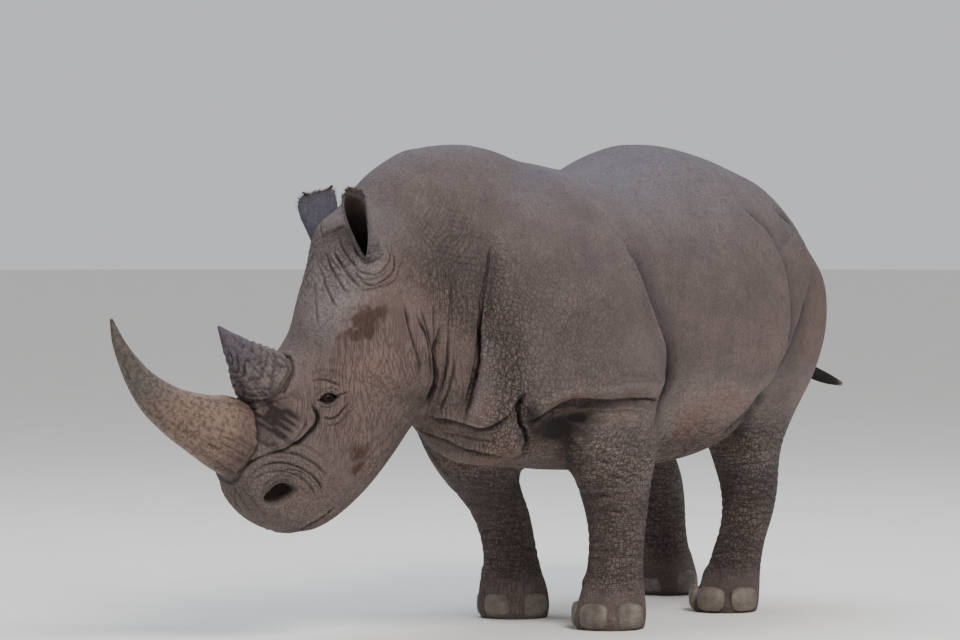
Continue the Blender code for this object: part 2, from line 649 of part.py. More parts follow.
def keep_largest(obj):
    """Drops the crumbs that a cut leaves behind."""
    bm = bmesh.new()
    bm.from_mesh(obj.data)
    loose, islands = set(bm.verts), []
    while loose:
        island, front = set(), [loose.pop()]
        while front:
            vertex = front.pop()
            island.add(vertex)
            for edge in vertex.link_edges:
                other = edge.other_vert(vertex)
                if other in loose:
                    loose.discard(other)
                    front.append(other)
        islands.append(island)
    largest = max(islands, key=len)
    bmesh.ops.delete(bm, geom=[v for v in bm.verts if v not in largest], context="VERTS")
    bm.to_mesh(obj.data)
    bm.free()


def build():
    for thing in list(bpy.data.objects):
        bpy.data.objects.remove(thing)
    scene = bpy.context.scene.collection
    parts = bpy.data.collections.new(NAME)
    cutters = bpy.data.collections.new("cutters")
    scene.children.link(parts)
    scene.children.link(cutters)

    body = whole_body(parts)
    solid = swollen(body, "body_cutter", cutters)
    flat = Matrix.Identity(3)

    for name, rows, rings, sides in (("horn_front", FRONT_HORN, 17, 12), ("horn_rear", REAR_HORN, 9, 12)):
        horn = make_object(name, [horn_form(rows, rings, sides)], parts)
        grow_on(horn, solid)
        keep_largest(horn)
        paint(horn, "horn", HORN, 0.6)
    between = swollen(bpy.data.objects["horn_front"], "horn_cutter", cutters)
    grow_on(bpy.data.objects["horn_rear"], between)
    keep_largest(bpy.data.objects["horn_rear"])

    for side, name in ((-1, "left"), (1, "right")):
        ear = make_object(f"ear_{name}", [ear_form(side)], parts)
        grow_on(ear, solid)
        keep_largest(ear)
        paint(ear, "skin", SKIN, 0.75)

        along, out, up = EYE
        centre = head_point(along, side * out, up)
        ball_size = (EYE_RADIUS,) * 3
        eye = ball(f"eye_{name}", centre, ball_size, flat, 12, 8, parts)
        paint(eye, "eye", EYEBALL, 0.1)
        socket_size = (EYE_RADIUS + 2 * GAP,) * 3
        socket = ball(f"socket_{name}", centre, socket_size, flat, 12, 8, cutters)
        socket.hide_render = True
        socket.display_type = "WIRE"
        boolean(body, socket, "DIFFERENCE")
    apply_modifiers(body)
    tidy(body)

    for name, centre, turn in nail_places():
        nail = ball(name, centre, NAIL_SIZE, turn, 8, 5, parts)
        grow_on(nail, solid)
        keep_largest(nail)
        paint(nail, "nail", NAIL, 0.6)

    tail = make_object("tail", [tail_form()], parts)
    grow_on(tail, solid)
    keep_largest(tail)
    paint(tail, "skin", SKIN, 0.75)
    tuft = make_object("tail_tuft", [tuft_form()], parts)
    grow_on(tuft, swollen(tail, "tail_cutter", cutters))
    keep_largest(tuft)
    paint(tuft, "hair", HAIR, 0.8)

    for node in part_body(body, parts, cutters):
        paint(node, "skin", SKIN, 0.75)
    for node in parts.objects:
        node.data.transform(Matrix.Translation((*CENTRE_SHIFT, 0)))


build()
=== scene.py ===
"""The looks of a life-size white rhinoceros bull, laid over its solids.

Metres. x runs back along the animal, its left side is towards -y, and it stands on z = 0. The skin is one mesh,
made from the same ovals as the solids, then creased and wrinkled along named routes. Horns, eyes, nails, the
fringes of the ears and the tuft of the tail are pieces of their own.
"""

import json
import math

import bmesh
import bpy
import numpy as np
from mathutils import Matrix, Vector
from mathutils.bvhtree import BVHTree

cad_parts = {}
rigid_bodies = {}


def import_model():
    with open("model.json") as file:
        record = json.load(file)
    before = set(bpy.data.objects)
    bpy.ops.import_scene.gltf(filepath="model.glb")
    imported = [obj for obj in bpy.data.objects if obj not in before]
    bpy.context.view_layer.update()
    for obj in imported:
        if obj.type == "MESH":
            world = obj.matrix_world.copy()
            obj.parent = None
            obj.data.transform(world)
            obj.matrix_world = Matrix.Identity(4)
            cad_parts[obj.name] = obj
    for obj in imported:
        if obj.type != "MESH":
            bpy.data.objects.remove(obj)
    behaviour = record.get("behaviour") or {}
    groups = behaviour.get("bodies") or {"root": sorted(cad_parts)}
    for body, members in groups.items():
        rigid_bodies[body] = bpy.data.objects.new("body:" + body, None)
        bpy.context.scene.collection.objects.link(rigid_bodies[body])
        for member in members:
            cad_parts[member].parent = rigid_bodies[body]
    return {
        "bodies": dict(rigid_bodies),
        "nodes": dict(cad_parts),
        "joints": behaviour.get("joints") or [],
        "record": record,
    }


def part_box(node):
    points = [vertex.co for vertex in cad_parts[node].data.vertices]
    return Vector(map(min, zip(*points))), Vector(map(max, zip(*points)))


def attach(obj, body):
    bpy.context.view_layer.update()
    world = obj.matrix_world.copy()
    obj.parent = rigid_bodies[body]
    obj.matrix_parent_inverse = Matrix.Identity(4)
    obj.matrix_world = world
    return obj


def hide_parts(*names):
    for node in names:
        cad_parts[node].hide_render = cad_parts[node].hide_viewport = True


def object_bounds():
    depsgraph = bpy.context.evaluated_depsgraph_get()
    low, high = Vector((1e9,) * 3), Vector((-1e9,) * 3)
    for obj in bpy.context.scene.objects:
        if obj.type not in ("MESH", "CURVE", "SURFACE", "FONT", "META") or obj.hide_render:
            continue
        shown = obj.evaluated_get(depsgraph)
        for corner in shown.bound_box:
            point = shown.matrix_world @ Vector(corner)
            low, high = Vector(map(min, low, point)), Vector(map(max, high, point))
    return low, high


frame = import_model()
CAD_LOW, CAD_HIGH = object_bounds()

# ---- size of the work
SHIFT = np.array([0.0386, -0.0360, 0.0])  # from the animal's own middle to the middle of its box
VOXEL = 0.016
RELAX = 24
LEG_TOP = 0.95
LEGS = {
    # how far each foot stands behind its plain place, and how far the middle of the leg bows ahead
    "leg_front_left": (0.04, 0.0),
    "leg_front_right": (0.30, 0.09),
    "leg_hind_left": (-0.22, 0.05),
    "leg_hind_right": (0.40, 0.0),
}
BOW_HEIGHT, BOW_SPAN = 0.56, 0.13

# ---- ears: base and tip in the head's frame, and the way the opening faces in the world
EARS = {
    -1: ((0.022, -0.140, 0.085), (-0.105, -0.185, 0.310), (-0.90, 0.00, 0.0)),
    1: ((0.015, 0.152, 0.06), (-0.115, 0.170, 0.213), (0.80, 0.60, 0.0)),
}
# share of the length, half width, half depth, wrap either way in degrees, lean, how far out to the rear edge
EAR_SHAPE = [
    (0.00, 0.044, 0.040, 168, -0.045, 0.000),
    (0.20, 0.049, 0.042, 150, -0.042, 0.000),
    (0.42, 0.057, 0.042, 135, -0.036, 0.000),
    (0.65, 0.065, 0.040, 120, -0.028, 0.000),
    (0.85, 0.064, 0.034, 106, -0.022, 0.002),
    (0.95, 0.057, 0.027, 96, -0.018, 0.006),
    (1.00, 0.046, 0.020, 88, -0.014, 0.011),
]
EAR_WALL = 0.010
EAR_TURN = {-1: (-0.45, 0.55), 1: (0.0, 0.0)}  # each cup's turn on its axis, and how far its slit is set aside
# how high the rim stands, by the angle from the middle of the ear's back
EAR_OPENING = ((88, 96, 106, 118, 130, 142, 154, 166, 180), (1.0, 0.94, 0.82, 0.64, 0.47, 0.32, 0.18, 0.07, 0.0))

# ---- trunk: x, top, bottom, half width, height of the widest, powers above and below
TRUNK = [
    (-0.67, 1.20, 0.73, 0.20, 0.96, 2.0, 2.0),
    (-0.58, 1.40, 0.63, 0.30, 0.99, 2.0, 2.0),
    (-0.44, 1.60, 0.61, 0.37, 1.04, 1.9, 2.0),
    (-0.22, 1.71, 0.59, 0.44, 1.05, 1.8, 2.1),
    (0.03, 1.69, 0.57, 0.50, 1.04, 1.8, 2.2),
    (0.24, 1.67, 0.56, 0.55, 1.03, 1.9, 2.2),
    (0.44, 1.71, 0.56, 0.60, 1.02, 1.9, 2.2),
    (0.62, 1.77, 0.57, 0.62, 1.03, 1.9, 2.2),
    (0.80, 1.77, 0.61, 0.60, 1.06, 2.1, 2.1),
    (1.00, 1.72, 0.70, 0.56, 1.10, 2.3, 2.0),
    (1.18, 1.66, 0.81, 0.52, 1.14, 2.5, 2.0),
    (1.32, 1.58, 0.88, 0.46, 1.16, 2.5, 2.0),
    (1.44, 1.48, 0.94, 0.37, 1.18, 2.3, 2.0),
    (1.53, 1.37, 1.00, 0.26, 1.18, 2.1, 2.0),
]
# ---- neck and nuchal hump: x, y, z, pitch, yaw, half width, up, down, powers
NECK = [
    (-0.05, 0.04, 1.22, 0, 0, 0.33, 0.48, 0.50, 1.8, 2.0),
    (-0.34, 0.11, 1.22, 8, 6, 0.31, 0.565, 0.52, 1.7, 2.0),
    (-0.58, 0.18, 1.18, 24, 12, 0.28, 0.575, 0.46, 1.7, 2.0),
    (-0.74, 0.22, 1.10, 40, 20, 0.25, 0.44, 0.38, 1.9, 2.0),
    (-0.85, 0.26, 1.04, 50, 28, 0.225, 0.325, 0.32, 2.0, 2.0),
    (-0.93, 0.29, 0.99, 55, 33, 0.20, 0.24, 0.28, 2.0, 2.0),
]
# ---- head: where its axis starts, how it is held, and its outline along that axis
HEAD_PLACE = (-0.86, 0.25, 1.36)
HEAD_PITCH, HEAD_YAW, HEAD_ROLL = 56, 34, 13
HEAD_SIZE = 1.03
# along, dorsal line, ventral line, half width, powers above and below
HEAD = [
    (-0.10, 0.18, -0.28, 0.17, 2.0, 2.0),
    (-0.02, 0.22, -0.34, 0.19, 2.2, 2.0),
    (0.08, 0.185, -0.40, 0.195, 2.3, 2.1),
    (0.18, 0.125, -0.45, 0.195, 2.4, 2.3),
    (0.28, 0.085, -0.475, 0.195, 2.5, 2.5),
    (0.40, 0.070, -0.485, 0.195, 2.6, 2.6),
    (0.52, 0.095, -0.485, 0.185, 2.6, 2.6),
    (0.64, 0.125, -0.475, 0.172, 2.4, 2.6),
    (0.74, 0.130, -0.450, 0.160, 2.3, 2.6),
    (0.84, 0.100, -0.405, 0.148, 2.4, 2.6),
    (0.91, 0.035, -0.345, 0.136, 2.4, 2.5),
    (0.95, -0.050, -0.27, 0.115, 2.3, 2.4),
]
# ---- legs: height, x, distance from the middle, half depth in front and behind, half width, power
FORELEG = [
    (1.55, -0.12, 0.16, 0.16, 0.18, 0.10, 2.0),
    (1.40, -0.15, 0.23, 0.24, 0.27, 0.13, 2.0),
    (1.22, -0.17, 0.29, 0.29, 0.33, 0.165, 2.0),
    (1.05, -0.16, 0.32, 0.30, 0.35, 0.175, 2.0),
    (0.90, -0.12, 0.325, 0.32, 0.30, 0.175, 2.0),
    (0.78, -0.08, 0.32, 0.31, 0.24, 0.170, 2.0),
    (0.64, -0.04, 0.305, 0.235, 0.195, 0.157, 2.0),
    (0.52, -0.01, 0.29, 0.165, 0.150, 0.132, 2.1),
    (0.42, 0.01, 0.285, 0.130, 0.125, 0.112, 2.2),
    (0.30, 0.01, 0.28, 0.105, 0.105, 0.105, 2.1),
    (0.18, 0.00, 0.275, 0.115, 0.11, 0.11, 2.1),
    (0.09, -0.02, 0.275, 0.14, 0.12, 0.13, 2.2),
    (0.02, -0.03, 0.275, 0.15, 0.12, 0.135, 2.3),
    (-0.02, -0.03, 0.275, 0.145, 0.115, 0.13, 2.3),
]
HINDLEG = [
    (1.50, 1.12, 0.22, 0.18, 0.20, 0.14, 2.0),
    (1.30, 1.14, 0.30, 0.32, 0.33, 0.20, 2.1),
    (1.08, 1.12, 0.325, 0.38, 0.37, 0.20, 2.1),
    (0.90, 1.06, 0.33, 0.32, 0.36, 0.19, 2.1),
    (0.74, 1.06, 0.32, 0.22, 0.27, 0.16, 2.0),
    (0.60, 1.13, 0.31, 0.165, 0.185, 0.13, 2.0),
    (0.46, 1.20, 0.30, 0.125, 0.145, 0.11, 2.0),
    (0.36, 1.20, 0.295, 0.11, 0.12, 0.10, 2.0),
    (0.24, 1.16, 0.29, 0.105, 0.105, 0.10, 2.0),
    (0.14, 1.135, 0.29, 0.115, 0.11, 0.11, 2.1),
    (0.07, 1.115, 0.29, 0.135, 0.12, 0.125, 2.2),
    (0.02, 1.11, 0.29, 0.14, 0.12, 0.13, 2.3),
    (-0.02, 1.11, 0.29, 0.135, 0.115, 0.125, 2.3),
]
BUTTOCKS = [
    (1.46, 1.22, 0.00, 0.20, 0.22, 0.26, 2.0),
    (1.30, 1.22, 0.00, 0.25, 0.34, 0.33, 2.0),
    (1.12, 1.20, 0.00, 0.25, 0.37, 0.34, 2.0),
    (0.94, 1.16, 0.00, 0.22, 0.32, 0.30, 2.0),
    (0.84, 1.14, 0.00, 0.18, 0.24, 0.24, 2.0),
]
# ---- horns, in the head's plane: along, above, half depth, half width
FRONT_HORN = [
    (0.785, 0.06, 0.130, 0.105),
    (0.795, 0.14, 0.128, 0.100),
    (0.824, 0.25, 0.103, 0.082),
    (0.842, 0.36, 0.080, 0.066),
    (0.842, 0.45, 0.066, 0.054),
    (0.830, 0.53, 0.050, 0.043),
    (0.805, 0.61, 0.036, 0.032),
    (0.770, 0.69, 0.023, 0.021),
    (0.727, 0.755, 0.008, 0.008),
]
REAR_HORN = [
    (0.560, 0.03, 0.110, 0.095),
    (0.558, 0.12, 0.108, 0.090),
    (0.550, 0.18, 0.088, 0.070),
    (0.540, 0.24, 0.060, 0.048),
    (0.528, 0.31, 0.034, 0.028),
    (0.514, 0.372, 0.008, 0.008),
]
# ---- nails: half sizes, height of the middle, and how far out on the foot it sits
NAIL_SIZE = (0.026, 0.062, 0.050)
NAIL_HEIGHT = 0.054
NAIL_INSET = 0.90
# ---- tuft of the tail: x, y, z, half thickness
TUFT = [
    (1.694, -0.190, 0.913, 0.021),
    (1.709, -0.240, 0.880, 0.025),
    (1.729, -0.300, 0.853, 0.021),
    (1.750, -0.360, 0.830, 0.007),
]
# ---- tail: x, y, z, half thickness
TAIL = [
    (1.40, 0.00, 1.41, 0.062),
    (1.51, 0.00, 1.375, 0.056),
    (1.59, -0.01, 1.285, 0.046),
    (1.630, -0.04, 1.17, 0.036),
    (1.650, -0.09, 1.05, 0.029),
    (1.672, -0.15, 0.955, 0.024),
    (1.694, -0.19, 0.913, 0.022),
]
# how far the neck's middle stands to the right of the trunk's, by the distance ahead
NECK_BEND = ((0.05, 0.34, 0.58, 0.74, 0.85), (0.0, 0.09, 0.14, 0.18, 0.21))


def hermite(keys, values, at):
    """A smooth curve through values at the given keys, each column on its own."""
    keys = np.asarray(keys, float)
    values = np.asarray(values, float)
    slope = np.gradient(values, keys, axis=0)
    i = np.clip(np.searchsorted(keys, at, side="right") - 1, 0, len(keys) - 2)
    step = (keys[i + 1] - keys[i])[:, None]
    t = (at - keys[i])[:, None] / step
    a, b = values[i], values[i + 1]
    da, db = slope[i] * step, slope[i + 1] * step
    rise = 3 * t**2 - 2 * t**3
    return a * (1 - rise) + b * rise + da * (t**3 - 2 * t**2 + t) + db * (t**3 - t**2)


def facing(pitch, yaw, roll=0.0):
    """Columns: the side to the animal's right, up, and ahead, for a dip of pitch and a turn right of yaw."""
    p, r = math.radians(pitch), math.radians(roll)
    ahead = Vector((-math.cos(p), 0, -math.sin(p)))
    up = Vector((-math.sin(p), 0, math.cos(p)))
    side = Vector((0, 1, 0))
    side, up = side * math.cos(r) + up * math.sin(r), up * math.cos(r) - side * math.sin(r)
    turn = Matrix.Rotation(math.radians(-yaw), 3, "Z")
    return np.array([turn @ side, turn @ up, turn @ ahead]).T


def loft(stations, rings, sides, cap=(0.5, 0.5)):
    """A closed skin over oval stations: x, y, z, pitch, yaw, half width, up, down, powers above and below."""
    stations = np.asarray(stations, float)
    steps = np.linalg.norm(np.diff(stations[:, :3], axis=0), axis=1)
    keys = np.concatenate([[0], np.cumsum(steps)])
    rows = hermite(keys, stations, np.linspace(0, keys[-1], rings))
    angle = np.arange(sides) * math.tau / sides
    cos, sin = np.cos(angle), np.sin(angle)
    points = []

    def add_ring(row, shrink, shift):
        frame = facing(row[3], row[4])
        power = np.where(sin >= 0, row[8], row[9])
        across = np.sign(cos) * np.abs(cos) ** (2 / power) * row[5] * shrink
        height = np.sign(sin) * np.abs(sin) ** (2 / power)
        height = height * np.where(sin >= 0, row[6], row[7]) * shrink
        middle = row[:3] + frame[:, 2] * shift
        points.append(middle + across[:, None] * frame[:, 0] + height[:, None] * frame[:, 1])

    round_end = np.radians([75, 50, 25])
    for turn in round_end:
        add_ring(rows[0], math.cos(turn), -math.sin(turn) * cap[0] * rows[0][5])
    for row in rows:
        add_ring(row, 1, 0)
    for turn in round_end[::-1]:
        add_ring(rows[-1], math.cos(turn), math.sin(turn) * cap[1] * rows[-1][5])
    faces = []
    last = (len(points) - 1) * sides
    for start in range(0, last, sides):
        for k in range(sides):
            a, b = start + k, start + (k + 1) % sides
            faces.append((a, b, b + sides, a + sides))
    faces.append(tuple(range(sides))[::-1])
    faces.append(tuple(range(last, last + sides)))
    return np.concatenate(points), faces


def head_point(along, side, up):
    """A place given in the head's own frame."""
    frame = facing(HEAD_PITCH, HEAD_YAW, HEAD_ROLL)
    return np.array(HEAD_PLACE) + HEAD_SIZE * (frame[:, 0] * side + frame[:, 1] * up + frame[:, 2] * along)


def in_head(shape):
    """A loft made with its nose to -x, put in the head's frame."""
    points, faces = shape
    return np.array([head_point(-x, y, z) for x, y, z in points]), faces


def trunk_form():
    rows = []
    for x, top, bottom, half, widest, above, below in reversed(TRUNK):
        rows.append((x, 0, widest, 0, 0, half, top - widest, widest - bottom, above, below))
    return loft(rows, rings=60, sides=56, cap=(0.5, 0.4))


def head_form():
    rows = []
    for along, top, bottom, half, above, below in HEAD:
        middle = (top + bottom) / 2 + 0.01
        rows.append((-along, 0, middle, 0, 0, half, top - middle, middle - bottom, above, below))
    return in_head(loft(rows, rings=48, sides=40, cap=(0.5, 0.25)))


def leg_form(rows, side, swing=0.0, bow=0.0):
    stations = []
    for z, x, y, front, rear, half, power in rows:
        drop = min(max((LEG_TOP - z) / LEG_TOP, 0), 1)
        x += swing * drop - bow * math.exp(-(((z - BOW_HEIGHT) / BOW_SPAN) ** 2))
        stations.append((x, side * y, z, 90, 0, half, front, rear, power, power))
    return loft(stations, rings=40, sides=32, cap=(0.6, 0.02))


def tail_form():
    rows = np.asarray(TAIL)
    run = np.gradient(rows[:, :3], axis=0)
    stations = []
    for (x, y, z, half), (dx, dy, dz) in zip(rows, run):
        pitch = math.degrees(math.atan2(-dz, -dx))
        stations.append((x, y, z, pitch, 0, half, half, half, 2, 2))
    return loft(stations, rings=14, sides=10)


def horn_form(rows, rings, sides):
    rows = np.asarray(rows)
    run = np.gradient(rows[:, :2], axis=0)
    stations = []
    for (along, up, deep, wide), (da, du) in zip(rows, run):
        pitch = math.degrees(math.atan2(-du, da))
        stations.append((-along, 0, up, pitch, 0, wide, deep, deep, 2, 2))
    return in_head(loft(stations, rings=rings, sides=sides, cap=(0.1, 0.8)))


def make_object(name, shapes):
    """One mesh object of several shapes, each (points, faces)."""
    points, faces, start = [], [], 0
    for some_points, some_faces in shapes:
        points.append(some_points)
        faces += [tuple(i + start for i in face) for face in some_faces]
        start += len(some_points)
    mesh = bpy.data.meshes.new(name)
    mesh.from_pydata(np.concatenate(points).tolist(), [], faces)
    bm = bmesh.new()
    bm.from_mesh(mesh)
    bmesh.ops.recalc_face_normals(bm, faces=bm.faces)
    bm.to_mesh(mesh)
    bm.free()
    obj = bpy.data.objects.new(name, mesh)
    bpy.context.scene.collection.objects.link(obj)
    return obj


def apply_modifiers(obj):
    graph = bpy.context.evaluated_depsgraph_get()
    mesh = bpy.data.meshes.new_from_object(obj.evaluated_get(graph))
    obj.modifiers.clear()
    obj.data = mesh


def read_points(mesh):
    points = np.empty(len(mesh.vertices) * 3)
    mesh.vertices.foreach_get("co", points)
    return points.reshape(-1, 3)


def neighbours(mesh):
    edges = np.empty(len(mesh.edges) * 2, np.int32)
    mesh.edges.foreach_get("vertices", edges)
    a, b = edges.reshape(-1, 2).T
    return np.concatenate([a, b]), np.concatenate([b, a])


def relaxed(points, links, rounds, weight=0.5):
    """Points moved step by step towards the mean of their neighbours."""
    own, other = links
    count = np.maximum(np.bincount(own, minlength=len(points)), 1)
    weight = np.broadcast_to(weight, len(points))[:, None]
    for _ in range(rounds):
        mean = np.stack([np.bincount(own, points[other, k], len(points)) / count for k in range(3)], axis=1)
        points = points + (mean - points) * weight
    return points


# ---- fields that vary smoothly through space
LOOKUP = np.random.default_rng(11).uniform(-1, 1, 4096)


def cell_hash(cell, seed):
    mixed = cell[..., 0] * 73856093 ^ cell[..., 1] * 19349663 ^ cell[..., 2] * 83492791 ^ seed * 2654435
    return (mixed ^ (mixed >> 13)) & 4095


def noise(points, size, seed=0):
    """Smooth values from -1 to 1 that change over about the given size, which may differ by axis."""
    q = points / size + 31.7
    cell = np.floor(q).astype(np.int64)
    f = q - cell
    f = f * f * (3 - 2 * f)
    total = np.zeros(len(points))
    for corner in np.ndindex(2, 2, 2):
        corner = np.array(corner)
        weight = np.prod(np.where(corner == 1, f, 1 - f), axis=1)
        total += weight * LOOKUP[cell_hash(cell + corner, seed)]
    return total


def cracks(points, size, seed=0):
    """How far each point is from the nearest crack of a net of cells, as a share of the cells' size."""
    q = points / size + 57.3
    cell = np.floor(q).astype(np.int64)
    first = np.full(len(points), 9.0)
    second = np.full(len(points), 9.0)
    for corner in np.ndindex(3, 3, 3):
        there = cell + np.array(corner) - 1
        jitter = np.stack([LOOKUP[cell_hash(there, seed + k)] for k in range(3)], axis=1)
        reach = np.linalg.norm(there + 0.5 + 0.45 * jitter - q, axis=1)
        second = np.minimum(second, np.maximum(first, reach))
        first = np.minimum(first, reach)
    return second - first


def smooth(low, high, value):
    t = np.clip((value - low) / (high - low), 0, 1)
    return t * t * (3 - 2 * t)


def curve_through(points, step=0.008):
    """Evenly spaced points on a smooth line through the given ones."""
    points = np.asarray(points, float)
    keys = np.concatenate([[0], np.cumsum(np.linalg.norm(np.diff(points, axis=0), axis=1))])
    return hermite(keys, points, np.linspace(0, keys[-1], max(3, int(keys[-1] / step) + 1)))


# tints kept at each point of the skin: the crease tint and the dark tint are painted shade, the bluish tint is painted
# sky light, the light and the reddish tints are partly the skin's own tone and partly painted light, and the brown
# dirt tint also stands for painted shade inside the ears
SHADES = ("CreaseShade", "Hatch", "Upright", "Slant", "Level", "MudAndShade", "Stain", "WarmAndBounce", "PaleAndLit", "SkyLight", "PaintedShade")


class Hide:
    """The skin while it is shaped: its points and normals, and what its finish needs to know at each point."""

    def __init__(self, obj):
        self.obj = obj
        self.points = read_points(obj.data)
        self.links = neighbours(obj.data)
        self.shade = {name: np.zeros(len(self.points)) for name in SHADES}
        self.settle()
        self.remember()

    def remember(self):
        """Keeps the present shape as the one that folds are measured on."""
        self.rest, self.rest_normals = self.points.copy(), self.normals.copy()

    def settle(self):
        """Writes the points to the mesh and takes its normals afresh."""
        mesh = self.obj.data
        mesh.vertices.foreach_set("co", self.points.ravel())
        mesh.update()
        normals = np.empty(len(self.points) * 3, np.float32)
        mesh.vertex_normals.foreach_get("vector", normals)
        self.normals = normals.reshape(-1, 3).astype(float)

    def tree(self):
        bm = bmesh.new()
        bm.from_mesh(self.obj.data)
        found = BVHTree.FromBMesh(bm)
        bm.free()
        return found

    def push(self, where, amount):
        self.points[where] += self.normals[where] * amount[:, None]

    def tint(self, name, where, amount):
        shade = self.shade[name]
        shade[where] = np.maximum(shade[where], amount)

    def near(self, route, reach):
        """Points within reach of a line: which, how far off to its right, how far along, and the way off it."""
        low, high = route.min(axis=0) - reach, route.max(axis=0) + reach
        where = np.flatnonzero(np.all((self.rest > low) & (self.rest < high), axis=1))
        tangent = np.gradient(route, axis=0)
        tangent /= np.linalg.norm(tangent, axis=1)[:, None] + 1e-9
        found, signed, along, ways = [], [], [], []
        for chunk in np.array_split(where, len(where) // 20000 + 1):
            gap = self.rest[chunk][:, None] - route[None]
            nearest = np.argmin(np.einsum("ijk,ijk->ij", gap, gap), axis=1)
            offset = self.rest[chunk] - route[nearest]
            ahead = np.einsum("ij,ij->i", offset, tangent[nearest])
            inner = (nearest > 0) & (nearest < len(route) - 1)
            offset = offset - tangent[nearest] * (ahead * inner)[:, None]
            across = np.cross(tangent[nearest], self.rest_normals[chunk])
            distance = np.linalg.norm(offset, axis=1)
            keep = distance < reach
            found.append(chunk[keep])
            signed.append((distance * np.sign(np.einsum("ij,ij->i", offset, across)))[keep])
            along.append((nearest / (len(route) - 1))[keep])
            ways.append(offset[keep])
        return (np.concatenate(part) for part in (found, signed, along, ways))

    def deep_fold(self, route, depth, width, bank):
        """A broad fold with swells beside it; bank says which way and how far one side stands proud."""
        where, signed, along, ways = self.near(curve_through(route, 0.02), width * 2.2 * BANK_REACH)
        far = np.abs(signed) / width
        fade = np.clip(4 * along, 0, 1) * np.clip(4 * (1 - along), 0, 1)
        rise = depth * (0.35 * np.exp(-(((far - 2.4) / 1.5) ** 2)) - np.exp(-(far**2)))
        height = float(np.linalg.norm(bank))
        if height:
            uphill = ways @ np.array(bank) / width
            rise = rise + np.tanh(uphill) * np.exp(-((far / BANK_REACH) ** 2))
            # painted shade on the low side behind a proud bank, darker towards the fold's lower end
            low_side = smooth(0.3, -0.9, uphill / height)
            shade = abs(bank[0]) * (24 + 32 * along) * np.clip(5 * along, 0, 1) * np.clip(9 * (1 - along), 0, 1)
            self.tint("PaintedShade", where, shade * low_side * np.exp(-((far / (2.2 + 180 * abs(bank[0]))) ** 2)))
        self.push(where, rise * fade)

    def furrow(self, line, depth, width, bank=(0, 0, 0), lip=0.3, ends=0.2, dark=1.0, seed=1):
        """A sharp line sunk into the skin, with low lips beside it or one proud bank."""
        height = float(np.linalg.norm(bank))
        where, signed, along, ways = self.near(line, width * (10 if height else 6))
        if not len(where):
            return
        spots = self.rest[where]
        fade = smooth(0, ends, along) * smooth(0, ends, 1 - along) * (0.85 + 0.3 * noise(spots, 0.06, seed))
        drift = 0.5 * noise(spots, 0.040, seed + 5) + 0.3 * noise(spots, 0.015, seed + 6)
        far = np.abs(signed / width + drift)
        rise = lip * depth * np.exp(-(((far - 2.4) / 1.1) ** 2)) - depth * np.exp(-(far**2))
        if height:
            uphill = ways @ np.array(bank) / height / width
            rise = rise + height * np.tanh(uphill) * np.exp(-((far / 5) ** 2))
            # painted shadow on the low side behind a proud bank, and a painted highlight along its crest
            low_side = smooth(0.4, -0.8, uphill) * min(1, height / 0.010)
            self.tint("CreaseShade", where, 0.62 * dark * fade * low_side * np.exp(-((far / 4.2) ** 2)))
            self.tint("PaleAndLit", where, 0.5 * min(dark, 1) * fade * np.exp(-(((uphill - 1.7) / 0.8) ** 2)))
        self.push(where, rise * fade)
        # painted shade down the sunk line
        self.tint("CreaseShade", where, dark * fade * np.exp(-((far / 0.75) ** 2)))


def on_skin(tree, route):
    """A smooth line through the points, laid onto the skin."""
    line = np.array([tree.find_nearest(Vector(p))[0] for p in curve_through(route, 0.005)])
    for _ in range(6):
        line[1:-1] = (line[:-2] + 2 * line[1:-1] + line[2:]) / 4
    return line


def mirrored(route):
    """The same route on the animal's other side."""
    return [(x, 2 * middle_of(x) - y, z) for x, y, z in route]


def middle_of(x):
    """How far the neck's middle stands off the trunk's, which bends to the animal's right towards the head."""
    return float(np.interp(-x, *NECK_BEND))


def head_route(points, side):
    """A route given in the head's frame on the left side, laid to the side asked for."""
    return [head_point(along, out * -side, up) for along, out, up in points]


